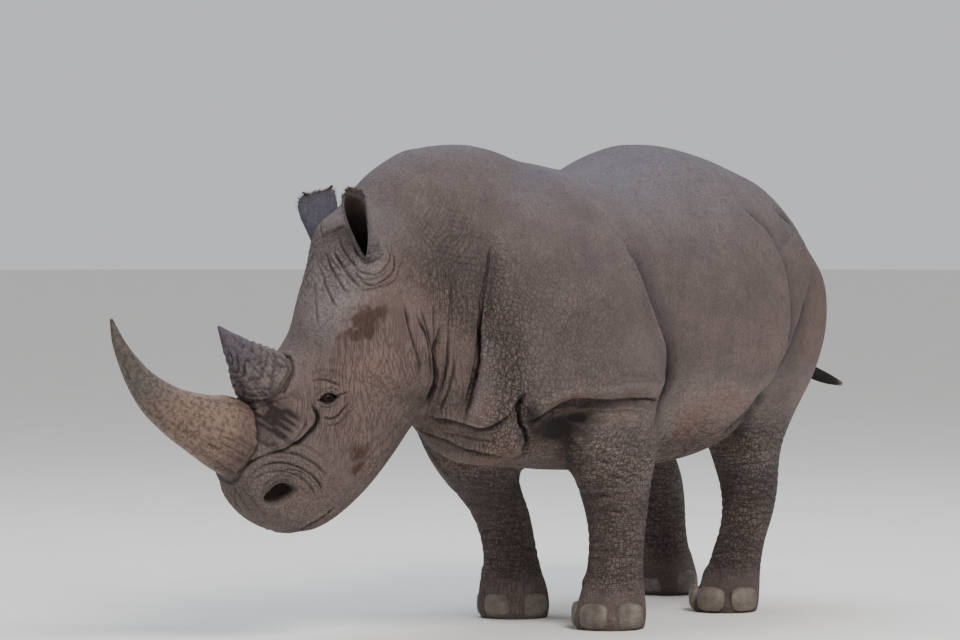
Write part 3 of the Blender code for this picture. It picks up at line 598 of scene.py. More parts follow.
# ---- deep folds of the body's left side, as in the solids; each is mirrored to the right
BANK_REACH = 4.5
DEEP_FOLDS = {
    # route, depth, width, and which way and how far one bank stands proud
    "shoulder": (
        [(-0.55, -0.09, 1.45), (-0.60, -0.10, 1.33), (-0.65, -0.11, 1.22), (-0.69, -0.12, 1.12),
         (-0.72, -0.13, 1.00), (-0.73, -0.11, 0.90), (-0.71, -0.07, 0.80)],
        0.024, 0.024, (0.005, 0, 0)),
    "armpit": (
        [(-0.59, -0.28, 0.93), (-0.62, -0.25, 0.86), (-0.58, -0.23, 0.77), (-0.48, -0.20, 0.69),
         (-0.41, -0.14, 0.64)],
        0.026, 0.024, (0, 0, 0)),
    "elbow": (
        [(-0.58, -0.24, 0.77), (-0.52, -0.29, 0.80), (-0.42, -0.35, 0.83), (-0.34, -0.42, 0.84),
         (-0.22, -0.48, 0.85), (-0.10, -0.49, 0.85), (0.00, -0.49, 0.84)],
        0.030, 0.026, (0, 0, 0.014)),
    "flank": (
        [(-0.06, -0.36, 1.43), (-0.04, -0.43, 1.30), (-0.02, -0.46, 1.20), (0.02, -0.49, 1.10),
         (0.04, -0.50, 0.99), (0.04, -0.49, 0.90), (0.00, -0.48, 0.81), (-0.02, -0.46, 0.72)],
        0.018, 0.026, (-0.010, 0, 0)),
    "paunch": (
        [(0.72, -0.44, 1.54), (0.83, -0.51, 1.45), (0.87, -0.56, 1.31), (0.84, -0.59, 1.19), (0.78, -0.60, 1.07),
         (0.68, -0.61, 0.95), (0.61, -0.59, 0.88)],
        0.014, 0.022, (-0.006, 0, 0)),
    "thigh": (
        [(1.00, -0.42, 1.55), (1.12, -0.47, 1.44), (1.13, -0.52, 1.33), (1.07, -0.54, 1.22), (0.96, -0.57, 1.11),
         (0.82, -0.59, 1.00), (0.68, -0.59, 0.90), (0.59, -0.56, 0.82), (0.55, -0.50, 0.74), (0.56, -0.42, 0.67)],
        0.030, 0.028, (-0.018, 0, 0)),
    "neck": (
        [(-0.79, -0.03, 1.14), (-0.81, -0.01, 1.03), (-0.78, 0.00, 0.94), (-0.76, 0.04, 0.87),
         (-0.74, 0.09, 0.81)],
        0.018, 0.020, (0, 0, 0)),
}
# ---- sharp lines of the body's left side: route, depth, width, proud bank, darkness
LINES = [
    # down the front of the shoulder, single above and doubled below
    ([(-0.56, -0.09, 1.44), (-0.60, -0.10, 1.33), (-0.65, -0.11, 1.22), (-0.69, -0.12, 1.12), (-0.72, -0.13, 1.00)],
     0.006, 0.0038, (0, 0, 0), 0.9),
    ([(-0.66, -0.11, 1.19), (-0.69, -0.12, 1.12), (-0.72, -0.13, 1.00), (-0.73, -0.11, 0.90), (-0.725, -0.09, 0.84),
      (-0.71, -0.06, 0.77)],
     0.016, 0.007, (0.005, 0, 0), 1.5),
    ([(-0.635, -0.10, 1.27), (-0.67, -0.11, 1.15), (-0.71, -0.12, 1.03), (-0.735, -0.11, 0.93), (-0.735, -0.09, 0.86),
      (-0.72, -0.06, 0.79)],
     0.010, 0.0045, (0, 0, 0), 1.2),
    # the armpit, the roll over the foreleg and its echoes
    ([(-0.60, -0.27, 0.90), (-0.62, -0.25, 0.85), (-0.58, -0.23, 0.77), (-0.50, -0.21, 0.71), (-0.44, -0.17, 0.66)],
     0.013, 0.0055, (0, 0, 0), 1.2),
    ([(-0.58, -0.24, 0.77), (-0.52, -0.29, 0.80), (-0.42, -0.35, 0.83), (-0.34, -0.42, 0.84), (-0.24, -0.47, 0.85)],
     0.014, 0.007, (0, 0, 0.007), 1.4),
    ([(-0.34, -0.42, 0.84), (-0.22, -0.48, 0.85), (-0.10, -0.49, 0.85), (0.00, -0.49, 0.84)],
     0.009, 0.0040, (0, 0, 0.004), 0.8),
    ([(-0.50, -0.31, 0.77), (-0.41, -0.37, 0.79), (-0.32, -0.44, 0.80), (-0.22, -0.48, 0.81), (-0.10, -0.49, 0.80)],
     0.005, 0.006, (0, 0, 0), 0.35),
    ([(-0.36, -0.43, 0.93), (-0.25, -0.49, 0.94), (-0.13, -0.50, 0.93)], 0.004, 0.008, (0, 0, 0), 0.2),
    # behind the shoulder
    ([(-0.06, -0.36, 1.43), (-0.06, -0.43, 1.30), (-0.05, -0.47, 1.18), (-0.01, -0.50, 1.08), (0.045, -0.49, 1.00),
      (0.055, -0.49, 0.94), (0.045, -0.48, 0.88), (0.01, -0.48, 0.82), (-0.03, -0.47, 0.75)],
     0.018, 0.009, (-0.010, 0, 0), 2.2),
    ([(0.075, -0.49, 1.08), (0.10, -0.50, 0.99), (0.095, -0.49, 0.90), (0.06, -0.48, 0.82)],
     0.006, 0.007, (0, 0, 0), 0.4),
    # down the paunch and in front of the thigh
    (DEEP_FOLDS["paunch"][0], 0.010, 0.007, (-0.006, 0, 0), 1.4),
    (DEEP_FOLDS["thigh"][0], 0.022, 0.012, (-0.016, 0, 0), 2.2),
    ([(1.24, -0.47, 1.34), (1.20, -0.51, 1.21), (1.13, -0.53, 1.08), (1.06, -0.53, 0.96)],
     0.007, 0.009, (0, 0, 0), 0.25),
    # across the chest, and the roll of the brisket below
    ([(-0.74, 0.10, 0.80), (-0.72, 0.05, 0.785), (-0.71, -0.01, 0.785), (-0.69, -0.06, 0.77), (-0.66, -0.11, 0.755),
      (-0.645, -0.15, 0.765), (-0.64, -0.19, 0.79), (-0.61, -0.22, 0.83), (-0.60, -0.24, 0.88)],
     0.016, 0.007, (0, 0, 0.005), 1.0),
    ([(-0.61, 0.18, 0.74), (-0.64, 0.12, 0.73), (-0.65, 0.05, 0.71), (-0.62, -0.02, 0.68), (-0.58, -0.10, 0.66),
      (-0.48, -0.14, 0.64)],
     0.014, 0.008, (0, 0, 0.006), 1.0),
    ([(-0.68, 0.05, 0.745), (-0.665, -0.02, 0.735), (-0.63, -0.09, 0.715), (-0.585, -0.16, 0.72)],
     0.006, 0.006, (0, 0, 0), 0.5),
    # across the neck, behind the jaw
    ([(-0.90, 0.03, 1.18), (-0.86, 0.01, 1.11), (-0.83, 0.00, 1.02), (-0.80, 0.01, 0.94), (-0.79, 0.04, 0.88)],
     0.012, 0.005, (0, 0, 0), 1.5),
    ([(-0.88, 0.01, 1.20), (-0.85, -0.005, 1.09), (-0.805, 0.00, 1.00), (-0.78, 0.02, 0.93)],
     0.008, 0.004, (0, 0, 0), 1.3),
    (DEEP_FOLDS["neck"][0], 0.014, 0.0055, (0, 0, 0), 1.6),
    ([(-0.76, -0.05, 1.20), (-0.77, -0.04, 1.09), (-0.765, -0.025, 0.98), (-0.755, 0.00, 0.91), (-0.75, 0.03, 0.86)],
     0.008, 0.0045, (0, 0, 0), 1.1),
    ([(-0.94, 0.04, 1.22), (-0.92, 0.02, 1.10), (-0.87, 0.02, 0.99), (-0.84, 0.04, 0.93)],
     0.008, 0.0045, (0, 0, 0), 1.2),
    ([(-0.82, 0.00, 1.22), (-0.825, -0.01, 1.12), (-0.82, -0.01, 1.05), (-0.79, 0.01, 0.97)],
     0.007, 0.004, (0, 0, 0), 1.0),
    ([(-0.745, -0.05, 1.02), (-0.75, -0.04, 0.94), (-0.74, -0.01, 0.87), (-0.73, 0.03, 0.81)],
     0.008, 0.005, (0, 0, 0), 1.0),
]
# ---- folds of the head's left side, in its own frame: route, depth, width, darkness
HEAD_LINES = [
    # from the corner of the eye down to the muzzle and up to the horn
    ([(0.535, -0.150, 0.002), (0.560, -0.160, -0.022), (0.580, -0.167, -0.050), (0.610, -0.167, -0.064),
      (0.645, -0.163, -0.061), (0.690, -0.157, -0.050), (0.744, -0.144, -0.019), (0.802, -0.123, 0.024),
      (0.843, -0.101, 0.042), (0.884, -0.068, 0.038), (0.912, -0.011, 0.021)], 0.011, 0.0055, 1.3),
    ([(0.545, -0.156, -0.005), (0.567, -0.162, -0.028), (0.580, -0.169, -0.055), (0.605, -0.169, -0.067),
      (0.645, -0.164, -0.061), (0.690, -0.158, -0.050), (0.730, -0.148, -0.028)], 0.006, 0.009, 2.0),
    ([(0.600, -0.160, -0.030), (0.650, -0.158, -0.036), (0.700, -0.152, -0.028), (0.745, -0.140, 0.000)],
     0.004, 0.005, 0.8),
    # round the muzzle
    ([(0.898, -0.086, 0.015), (0.830, -0.122, 0.008), (0.778, -0.147, -0.050), (0.755, -0.157, -0.130),
      (0.762, -0.154, -0.219), (0.796, -0.144, -0.275)], 0.007, 0.004, 1.2),
    ([(0.912, -0.090, -0.005), (0.850, -0.122, -0.012), (0.802, -0.145, -0.062), (0.783, -0.153, -0.137),
      (0.789, -0.151, -0.205), (0.812, -0.140, -0.255)], 0.005, 0.004, 1.0),
    ([(0.830, -0.100, 0.050), (0.770, -0.140, 0.005), (0.730, -0.155, -0.070), (0.718, -0.159, -0.160),
      (0.730, -0.155, -0.240)], 0.006, 0.005, 0.8),
    ([(0.720, -0.150, 0.000), (0.690, -0.158, -0.080), (0.682, -0.162, -0.160), (0.700, -0.160, -0.230)],
     0.003, 0.005, 0.3),
    # the front of the lip
    ([(0.917, 0.040, 0.006), (0.945, 0.010, -0.045), (0.968, -0.020, -0.100)], 0.004, 0.004, 0.5),
    ([(0.912, -0.025, 0.004), (0.945, -0.045, -0.050), (0.962, -0.060, -0.120)], 0.004, 0.004, 0.5),
    ([(0.908, -0.060, 0.000), (0.930, -0.080, -0.050), (0.940, -0.095, -0.100)], 0.003, 0.004, 0.4),
    # behind and under the horns
    ([(0.440, 0.040, 0.075), (0.470, -0.020, 0.083), (0.510, -0.070, 0.080), (0.560, -0.095, 0.075),
      (0.600, -0.110, 0.060)], 0.009, 0.006, 1.6),
    ([(0.700, -0.040, 0.118), (0.645, -0.080, 0.103), (0.600, -0.108, 0.075), (0.565, -0.125, 0.050)],
     0.008, 0.006, 0.9),
    # over, behind and under the eye
    ([(0.495, -0.134, 0.028), (0.468, -0.150, 0.003), (0.456, -0.166, -0.030), (0.450, -0.177, -0.069)],
     0.006, 0.004, 0.9),
    ([(0.470, -0.130, 0.048), (0.440, -0.150, 0.018), (0.425, -0.170, -0.025), (0.422, -0.182, -0.070)],
     0.004, 0.005, 0.3),
    ([(0.490, -0.176, -0.064), (0.472, -0.181, -0.080), (0.452, -0.185, -0.098)], 0.006, 0.004, 1.3),
    ([(0.578, -0.170, -0.066), (0.552, -0.177, -0.108), (0.501, -0.184, -0.121), (0.470, -0.187, -0.128)],
     0.007, 0.0045, 1.3),
    ([(0.600, -0.172, -0.088), (0.565, -0.178, -0.132), (0.510, -0.186, -0.148), (0.460, -0.190, -0.155)],
     0.004, 0.0045, 0.5),
    # the brow and the forehead
    ([(0.075, -0.020, 0.182), (0.139, -0.087, 0.131), (0.176, -0.145, 0.070)], 0.005, 0.0045, 0.8),
    ([(0.120, -0.010, 0.160), (0.190, -0.070, 0.115), (0.235, -0.120, 0.075)], 0.004, 0.0045, 0.7),
    ([(0.055, -0.050, 0.187), (0.095, -0.095, 0.155), (0.125, -0.140, 0.110), (0.135, -0.175, 0.050)],
     0.006, 0.005, 0.8),
    ([(0.170, -0.005, 0.135), (0.250, -0.050, 0.095), (0.320, -0.085, 0.075)], 0.003, 0.0045, 0.6),
    ([(0.020, -0.070, 0.198), (0.060, -0.110, 0.165), (0.085, -0.150, 0.110)], 0.006, 0.005, 0.9),
    ([(0.040, 0.010, 0.198), (0.000, -0.045, 0.205), (-0.034, -0.075, 0.188)], 0.005, 0.006, 0.5),
    ([(0.350, -0.070, 0.072), (0.300, -0.100, 0.072), (0.240, -0.120, 0.075)], 0.003, 0.005, 0.3),
    # the jaw
    ([(0.70, -0.150, -0.330), (0.60, -0.165, -0.330), (0.48, -0.175, -0.360), (0.36, -0.180, -0.370)],
     0.004, 0.009, 0.2),
]
# rings of loose skin round the root of an ear: reach, first and last angle, depth
EAR_RINGS = (
    (0.066, -190, 70, 0.0055), (0.077, -120, 60, 0.0040), (0.092, -175, 40, 0.0060), (0.104, -100, 20, 0.0030),
    (0.121, -150, 10, 0.0045),
)
MOUTH = [
    (0.955, 0.000, -0.262), (0.948, -0.050, -0.270), (0.915, -0.105, -0.285), (0.870, -0.128, -0.310),
    (0.825, -0.138, -0.335), (0.785, -0.143, -0.350),
]
NOSTRIL = (0.866, -0.133, -0.112)
# ---- the armpit's hollow, and patches of shade in it and behind the paunch: where, how wide, tall, dark and deep
HOLLOW = (-0.38, -0.37, 0.755)
SHADED = (
    ((-0.42, -0.28, 0.750), 0.110, 0.052, 1.5, 0.30), ((-0.38, -0.34, 0.785), 0.080, 0.034, 1.2, 0.30),
    ((-0.35, -0.29, 0.700), 0.045, 0.070, 1.0, 0.30), ((-0.30, -0.27, 0.630), 0.022, 0.090, 0.8, 0.30),
    ((-0.53, -0.25, 0.780), 0.035, 0.080, 0.9, 0.30), ((0.75, -0.50, 0.820), 0.034, 0.055, 0.9, 0.13),
    ((0.77, -0.44, 0.770), 0.042, 0.060, 1.0, 0.13), ((0.78, -0.39, 0.710), 0.050, 0.060, 1.0, 0.13),
)
# ---- the strong net in front of the shoulder: the middle of it, from the top down
NET_LINE = [(-0.60, -0.15, 1.38), (-0.635, -0.17, 1.22), (-0.65, -0.20, 1.11), (-0.65, -0.22, 1.00),
            (-0.65, -0.22, 0.90), (-0.63, -0.22, 0.82)]
NET_REACH = 0.060


def base_skin():
    """The whole body as one even mesh of about 7 mm, standing on flat soles."""
    shapes = [trunk_form(), loft(NECK, rings=60, sides=64, cap=(0.3, 0.3)), head_form(), leg_form(BUTTOCKS, 1), tail_form()]
    for name, (swing, bow) in LEGS.items():
        rows = FORELEG if "front" in name else HINDLEG
        side = -1 if "left" in name else 1
        shapes.append(leg_form(rows, side, swing, bow))
    skin = make_object("Skin", shapes)
    remesh = skin.modifiers.new("Even", "REMESH")
    remesh.mode = "VOXEL"
    remesh.voxel_size = VOXEL
    apply_modifiers(skin)
    points = relaxed(read_points(skin.data), neighbours(skin.data), RELAX)
    skin.data.vertices.foreach_set("co", points.ravel())
    skin.data.update()
    finer = skin.modifiers.new("Finer", "SUBSURF")
    finer.levels = finer.render_levels = 1
    apply_modifiers(skin)
    return skin


def refine(bm, zones):
    """Halves the edges of every face whose middle is in one of the zones, each a test of points."""
    middles = np.array([f.calc_center_median()[:] for f in bm.faces])
    inside = np.zeros(len(middles), bool)
    for zone in zones:
        inside |= zone(middles)
    bm.faces.ensure_lookup_table()
    edges = {e for k in np.flatnonzero(inside) for e in bm.faces[k].edges}
    bmesh.ops.subdivide_edges(bm, edges=list(edges), cuts=1, use_grid_fill=True)


def around_line(a, b, reach):
    a, b = np.asarray(a, float), np.asarray(b, float)

    def test(points):
        t = np.clip((points - a) @ (b - a) / ((b - a) @ (b - a)), 0, 1)
        return np.linalg.norm(points - a - t[:, None] * (b - a), axis=1) < reach

    return test


def along_routes(routes, reach):
    lines = np.concatenate([curve_through(route, 0.03) for route in routes])

    def test(points):
        inside = np.zeros(len(points), bool)
        for spot in lines:
            inside |= np.all(np.abs(points - spot) < reach, axis=1)
        return inside

    return test


def frame_at(tree, spot, long_axis):
    """A frame on the skin: where, its long axis in the skin, the way up from that, and straight out."""
    place, out, _, _ = tree.find_nearest(Vector(spot))
    out = np.array(out)
    across = long_axis - out * (long_axis @ out)
    across /= np.linalg.norm(across)
    up = np.cross(out, across)
    return np.array(place), across, up * (1 if up[2] > 0 else -1), out


def local(hide, spot, axes, reach):
    """The points near a spot, and their places in its frame."""
    where = np.flatnonzero(np.linalg.norm(hide.points - spot, axis=1) < reach)
    return where, (hide.points[where] - spot) @ np.array(axes).T


def set_eye(hide, tree, centre, radius, long_axis):
    """Lids drawn over the eyeball, open in an almond, with creases above and below."""
    _, across, up, out = frame_at(tree, centre, long_axis)
    axes = (across, up, out)
    where, spots = local(hide, centre, axes, 0.09)
    a, b, h = spots.T
    lid = radius + 0.0035
    r = np.hypot(a, b)
    dome = np.sqrt(np.maximum(lid**2 - r**2, 0)) - 2.5 * np.maximum(r - lid, 0)
    rise = dome - h
    raised = h + 0.5 * (rise + np.sqrt(rise**2 + 0.003**2))
    near = 1 - smooth(0.05, 0.085, r)
    raised = h + (raised - h) * near
    half = 0.0330
    arch = np.maximum(1 - (a / half) ** 2, 0)
    rim = np.minimum(0.0175 * arch - b, b + 0.0130 * arch)
    opened = smooth(-0.0008, 0.0014, rim) * (np.abs(a) < half)
    brim = np.exp(-(((rim + 0.0022) / 0.0022) ** 2)) * (np.abs(a) < 1.2 * half)
    raised += 0.0022 * brim
    inner = np.sqrt(np.maximum(radius**2 - r**2, 0)) - 0.009
    raised = raised * (1 - opened) + np.minimum(raised, inner) * opened
    hide.points[where] = centre + np.stack([a, b, raised], axis=1) @ np.array(axes)
    # painted shade along the rims of the lids
    hide.tint("PaintedShade", where, np.exp(-((np.maximum(-rim, 0) / 0.0045) ** 2)) * (r < 0.045))
    hide.settle()
    hide.remember()
    folded = hide.tree()
    for start, end, reach_a, reach_b, depth in (
        (15, 175, 0.037, 0.026, 0.0045), (-5, 185, 0.048, 0.036, 0.0035), (195, 350, 0.036, 0.022, 0.0035),
        (185, 345, 0.047, 0.033, 0.0030), (-35, 30, 0.066, 0.050, 0.0020), (150, 215, 0.060, 0.040, 0.0025),
    ):
        turn = np.radians(np.linspace(start, end, 14))
        ring = [centre + across * reach_a * math.cos(t) + up * reach_b * math.sin(t) + out * radius for t in turn]
        hide.furrow(on_skin(folded, ring), depth, 0.0032, ends=0.3, dark=0.7, seed=start + 50)
        hide.settle()
    return out


def set_nostril(hide, tree, side):
    """A deep comma-shaped nostril with a rolled rim and folds that ring it."""
    spot = np.array(head_point(NOSTRIL[0], NOSTRIL[1] * -side, NOSTRIL[2]))
    ahead = np.array(head_point(-0.8, 0, -0.6)) - np.array(head_point(0, 0, 0))
    place, across, up, out = frame_at(tree, spot, ahead)
    axes = (across, up, out)
    where, spots = local(hide, place, axes, 0.13)
    a, b, h = spots.T
    bend = b + 3.5 * a**2 - 0.005 + 0.003 * noise(hide.points[where], 0.03, 12)
    ring = np.sqrt((a / 0.070) ** 2 + (bend / (0.045 - 0.18 * np.clip(a, -0.06, 0.06))) ** 2)
    pit = 1 - smooth(0.50, 1.0, ring)
    roll = np.exp(-(((ring - 1.35) / 0.26) ** 2)) * smooth(-0.02, 0.02, bend)
    lobe = np.exp(-(((a + 0.035) / 0.030) ** 2 + ((bend - 0.038) / 0.020) ** 2))
    shaped = h - 0.050 * pit + 0.010 * roll + 0.010 * lobe
    hide.points[where] = place + np.stack([a, b, shaped], axis=1) @ np.array(axes)
    # painted shade deep in the nostril
    hide.tint("PaintedShade", where, smooth(0.12, 0.75, pit))
    hide.settle()
    hide.remember()
    folded = hide.tree()
    for scale, start, end, depth in (
        (1.8, 30, 190, 0.004), (2.15, 10, 200, 0.005), (2.55, 0, 190, 0.004), (3.0, 5, 180, 0.004), (3.5, -10, 170, 0.004),
    ):
        turn = np.radians(np.linspace(start, end, 16))
        wide, tall = 0.034 * scale, 0.024 * scale
        ring = [place + across * wide * math.cos(t) + up * tall * math.sin(t) + out * 0.01 for t in turn]
        hide.furrow(on_skin(folded, ring), depth, 0.0036, lip=0.35, ends=0.3, dark=1.0, seed=int(10 * scale))
        hide.settle()


def set_ear_folds(hide, tree, side):
    """Rings of loose skin round the root of an ear, below it and in front of it."""
    along, out, up = EARS[side][0]
    spot = np.array(head_point(along, out, up))
    ahead = np.array(head_point(1, 0, 0)) - np.array(head_point(0, 0, 0))
    place, across, above, outward = frame_at(tree, spot, ahead)
    for k, (reach, start, end, depth) in enumerate(EAR_RINGS):
        turn = np.radians(np.linspace(start, end, 20))
        wide = reach * (1 + 0.07 * np.sin(2 * turn + 1.7 * k) + 0.04 * np.sin(5 * turn + 2 * k))
        ring = [place + across * r * math.cos(t) + above * r * math.sin(t) for r, t in zip(wide, turn)]
        hide.furrow(on_skin(tree, ring), depth, 0.0036, lip=0.4, ends=0.35, dark=170 * depth, seed=7 * k + 2)
    hide.settle()


def in_head_frame(points):
    """Places in the head's own frame: along, side, up."""
    axes = facing(HEAD_PITCH, HEAD_YAW, HEAD_ROLL)
    own = (points - np.array(HEAD_PLACE)) @ axes / HEAD_SIZE
    return own[:, 2], own[:, 0], own[:, 1]


def wrinkle(hide, where, phase, depth, weight, seed, warp=1.3):
    """Fine folds that run along lines of equal phase, broken up so that none goes on for long."""
    spots = hide.points[where]
    phase = phase + warp * noise(spots, 0.045, seed) + 2 * warp * noise(spots, 0.16, seed + 1)
    groove = (0.5 + 0.5 * np.cos(phase)) ** 3
    broken = smooth(-0.35, 0.5, noise(spots, 0.07, seed + 2))
    hide.push(where, -depth * groove * broken * weight)
    # painted shade in the grooves of the folds
    hide.tint("CreaseShade", where, 0.55 * groove**2 * broken * weight)


def net(hide, where, size, depth, weight, seed, width=0.16, dark=0.7):
    """A net of cracks between plates of skin."""
    spots = hide.points[where]
    spots = spots + 0.25 * np.max(size) * np.stack([noise(spots, 0.03, seed + k) for k in range(3)], axis=1)
    gap = cracks(spots, size, seed)
    groove = np.exp(-((gap / width) ** 2))
    hide.push(where, depth * (0.5 * smooth(0.1, 0.6, gap) - groove) * weight)
    # painted shade in the cracks
    hide.tint("CreaseShade", where, dark * groove * weight)


def near_line(points, route, reach):
    """How close points are to a line, from 1 on it to 0 well off it."""
    line = curve_through(route, 0.03)
    far = np.full(len(points), 9.0)
    for spot in line:
        far = np.minimum(far, np.linalg.norm(points - spot, axis=1))
    return np.exp(-((far / reach) ** 2))


def shape_skin(skin):
    hide = Hide(skin)
    x, y, z = hide.points.T
    along, out, up = in_head_frame(hide.points)
    in_head = smooth(-0.12, 0.02, along) * (np.abs(out) < 0.33) * (up > -0.62) * (up < 0.34)
    # soft masses first: shoulder, hip and ribs
    bulk = 0.009 * noise(hide.points, np.array([0.28, 0.28, 0.34]), 3) * (1 - in_head) * smooth(0.35, 0.8, z)
    bulk += 0.0035 * noise(hide.points, np.array([0.10, 0.10, 0.22]), 6) * (1 - in_head) * smooth(0.5, 0.9, z)
    rib = np.exp(-(((x - 0.45) / 0.35) ** 2) - (((z - 1.1) / 0.25) ** 2))
    hide.push(np.arange(len(x)), bulk + 0.004 * np.sin(x * math.tau / 0.085) * rib * (np.abs(y) > 0.3))
    hide.settle()
    hide.remember()
    tree = hide.tree()
    for side in (-1, 1):
        for route, depth, width, bank in DEEP_FOLDS.values():
            hide.deep_fold(route if side < 0 else mirrored(route), depth, width, bank)
    hide.settle()
    # the hollow of each armpit, and its shade, which runs down behind the chest
    for side in (-1, 1):
        place = np.array(HOLLOW if side < 0 else mirrored([HOLLOW])[0])
        far = np.linalg.norm(hide.points - place, axis=1)
        where = np.flatnonzero(far < 0.24)
        hide.push(where, -0.055 * np.exp(-((far[where] / 0.095) ** 2)))
        for spot, wide, tall, dark, deep in SHADED:
            dx, dy, dz = (hide.points - np.array(spot if side < 0 else mirrored([spot])[0])).T
            gap = np.hypot((0.5 * dx + 0.866 * side * dy) / wide, dz / tall)
            inward = 1 - smooth(0.8 * deep, deep, np.abs(0.866 * dx - 0.5 * side * dy))
            uneven = gap + 0.22 * noise(hide.points, 0.05, 14) + 0.14 * noise(hide.points, 0.016, 15)
            hide.tint("PaintedShade", np.arange(len(dx)), dark * np.exp(-(np.maximum(uneven, 0) ** 2.2)) * inward)
    hide.settle()
    for side in (-1, 1):
        for k, (route, depth, width, bank, dark) in enumerate(LINES):
            line = on_skin(tree, route if side < 0 else mirrored(route))
            hide.furrow(line, depth, width, bank, dark=dark, seed=3 * k + 1)
        for k, (route, depth, width, dark) in enumerate(HEAD_LINES):
            hide.furrow(on_skin(tree, head_route(route, side)), depth, width, lip=0.35, dark=dark, seed=5 * k + 2)
        hide.furrow(on_skin(tree, head_route(MOUTH, side)), 0.014, 0.006, lip=0.5, ends=0.08, seed=4)
        hide.settle()
        set_ear_folds(hide, tree, side)
    horn_collars(hide)
    # fine folds by region
    x, y, z = hide.points.T
    along, out, up = in_head_frame(hide.points)
    every = np.arange(len(x))
    flat = np.abs(y - np.interp(-x, *NECK_BEND)) > 0.05

    def region(weight):
        part = every[weight > 0.04]
        return part, weight[part]

    neck = np.exp(-(((x + 0.78) / 0.13) ** 2)) * smooth(0.74, 0.90, z) * (1 - smooth(1.25, 1.55, z))
    neck = neck * (1 - smooth(-0.02, 0.10, along))
    part, weight = region(neck)
    wrinkle(hide, part, x[part] * math.tau / 0.026 + 4 * z[part], 0.0050, weight, 21)
    # lines that fan down and back from the ear
    fan = np.exp(-(((x + 0.74) / 0.16) ** 2) - (((z - 1.42) / 0.17) ** 2)) * (1 - smooth(-0.06, 0.04, along)) * flat
    part, weight = region(fan)
    slope = x[part] * 0.45 - np.abs(y[part]) * 0.6 + z[part] * 0.75
    wrinkle(hide, part, slope * math.tau / 0.019, 0.0020, weight, 25, warp=0.45)
    plates = np.maximum(near_line(hide.points, NET_LINE, NET_REACH), near_line(hide.points, mirrored(NET_LINE), NET_REACH))
    plates = plates * (1 - 0.75 * smooth(1.02, 1.28, z))
    part, weight = region(plates)
    net(hide, part, np.array([0.020, 0.020, 0.027]), 0.0042, weight, 31, width=0.17, dark=0.6)
    wide_net = 0.26 * np.exp(-(((x + 0.50) / 0.24) ** 2)) * smooth(0.72, 0.86, z) * (1 - smooth(1.15, 1.5, z)) * (1 - plates)
    part, weight = region(wide_net)
    net(hide, part, np.array([0.034, 0.034, 0.044]), 0.0045, weight, 35, dark=0.5)
    cheek = np.exp(-(((along - 0.34) / 0.17) ** 2) - (((up + 0.16) / 0.17) ** 2)) * (np.abs(out) < 0.3)
    part, weight = region(cheek)
    wrinkle(hide, part, (along[part] * 0.88 + up[part] * 0.48) * math.tau / 0.016, 0.0020, weight, 41, warp=0.8)
    brow = np.exp(-(((along - 0.12) / 0.13) ** 2)) * smooth(0.05, 0.13, up) * (np.abs(out) < 0.2)
    part, weight = region(brow)
    wrinkle(hide, part, (along[part] + 0.4 * out[part]) * math.tau / 0.022, 0.0028, weight, 51)
    muzzle = smooth(0.66, 0.76, along) * (up > -0.5) * (up < 0.2) * (np.abs(out) < 0.25)
    part, weight = region(muzzle)
    net(hide, part, 0.013, 0.0009, weight, 61, dark=0.25)
    legs = (1 - smooth(0.62, 0.80, z)) * smooth(0.10, 0.2, z) * (x > -0.5)
    part, weight = region(legs)
    wrinkle(hide, part, (z[part] * 0.9 + 0.35 * x[part]) * math.tau / 0.030, 0.0035, weight, 71)
    chest = np.exp(-(((x + 0.60) / 0.12) ** 2) - (((z - 0.71) / 0.07) ** 2)) * (1 - in_head)
    part, weight = region(chest)
    wrinkle(hide, part, y[part] * math.tau / 0.035, 0.0030, weight, 77)
    back = smooth(0.9, 1.4, z) * smooth(-0.6, -0.3, x)
    hide.settle()
    elbow = np.exp(-(((x + 0.18) / 0.22) ** 2) - (((z - 0.72) / 0.10) ** 2))
    jowl = 0.74 * smooth(0.05, 0.2, along) * (1 - smooth(0.60, 0.75, along)) * (1 - smooth(0.0, 0.08, up)) * (np.abs(out) < 0.3)
    folded = 0.5 * neck + plates + wide_net + chest + 0.8 * legs + 0.15 * muzzle
    hide.tint("Hatch", every, np.clip(0.34 + folded - 0.45 * jowl, 0, 1))
    # painted shade over the folded neck
    hide.tint("PaintedShade", every, 0.22 * neck)
    hide.tint("Upright", every, np.clip(neck + 0.22 * back + 0.35 * wide_net + jowl, 0, 1))
    hide.tint("Slant", every, np.clip(0.9 * fan + elbow + 0.7 * brow, 0, 1))
    hide.tint("Level", every, np.clip(0.7 * legs + 0.3 * (1 - smooth(0.8, 1.0, z)) * (1 - in_head), 0, 1))
    return hide


def horn_collars(hide):
    """The skin swells round the root of each horn, with painted shade in the groove where they meet."""
    along, out, up = in_head_frame(hide.points)
    above = (up > 0) * (up < 0.25)
    for middle, deep, wide in ((0.79, 0.130, 0.105), (0.559, 0.110, 0.095)):
        ring = np.sqrt(((along - middle) / deep) ** 2 + (out / wide) ** 2) + 0.03 * noise(hide.points, 0.03, 15)
        where = np.flatnonzero((ring < 1.6) & (above > 0))
        near = ring[where]
        hide.push(where, 0.005 * np.exp(-(((near - 1.13) / 0.07) ** 2)))
        # painted shade in the groove at the horn's root
        hide.tint("CreaseShade", where, 0.9 * np.exp(-(((near - 1.02) / 0.045) ** 2)))
    hide.settle()


def toes(hide):
    """A groove round each nail, and the pads of the toes over them."""
    for _, centre, _ in nail_places():
        spot = np.array(centre)
        where = np.flatnonzero(np.linalg.norm(hide.points - spot, axis=1) < 0.16)
        gap = np.linalg.norm((hide.points[where] - spot - np.array([0, 0, 0.03])) / np.array([1, 1, 1.1]), axis=1)
        hide.push(where, 0.007 * np.exp(-(((gap - 0.085) / 0.02) ** 2)) * smooth(0.0, 0.03, hide.points[where, 2]))
    hide.settle()


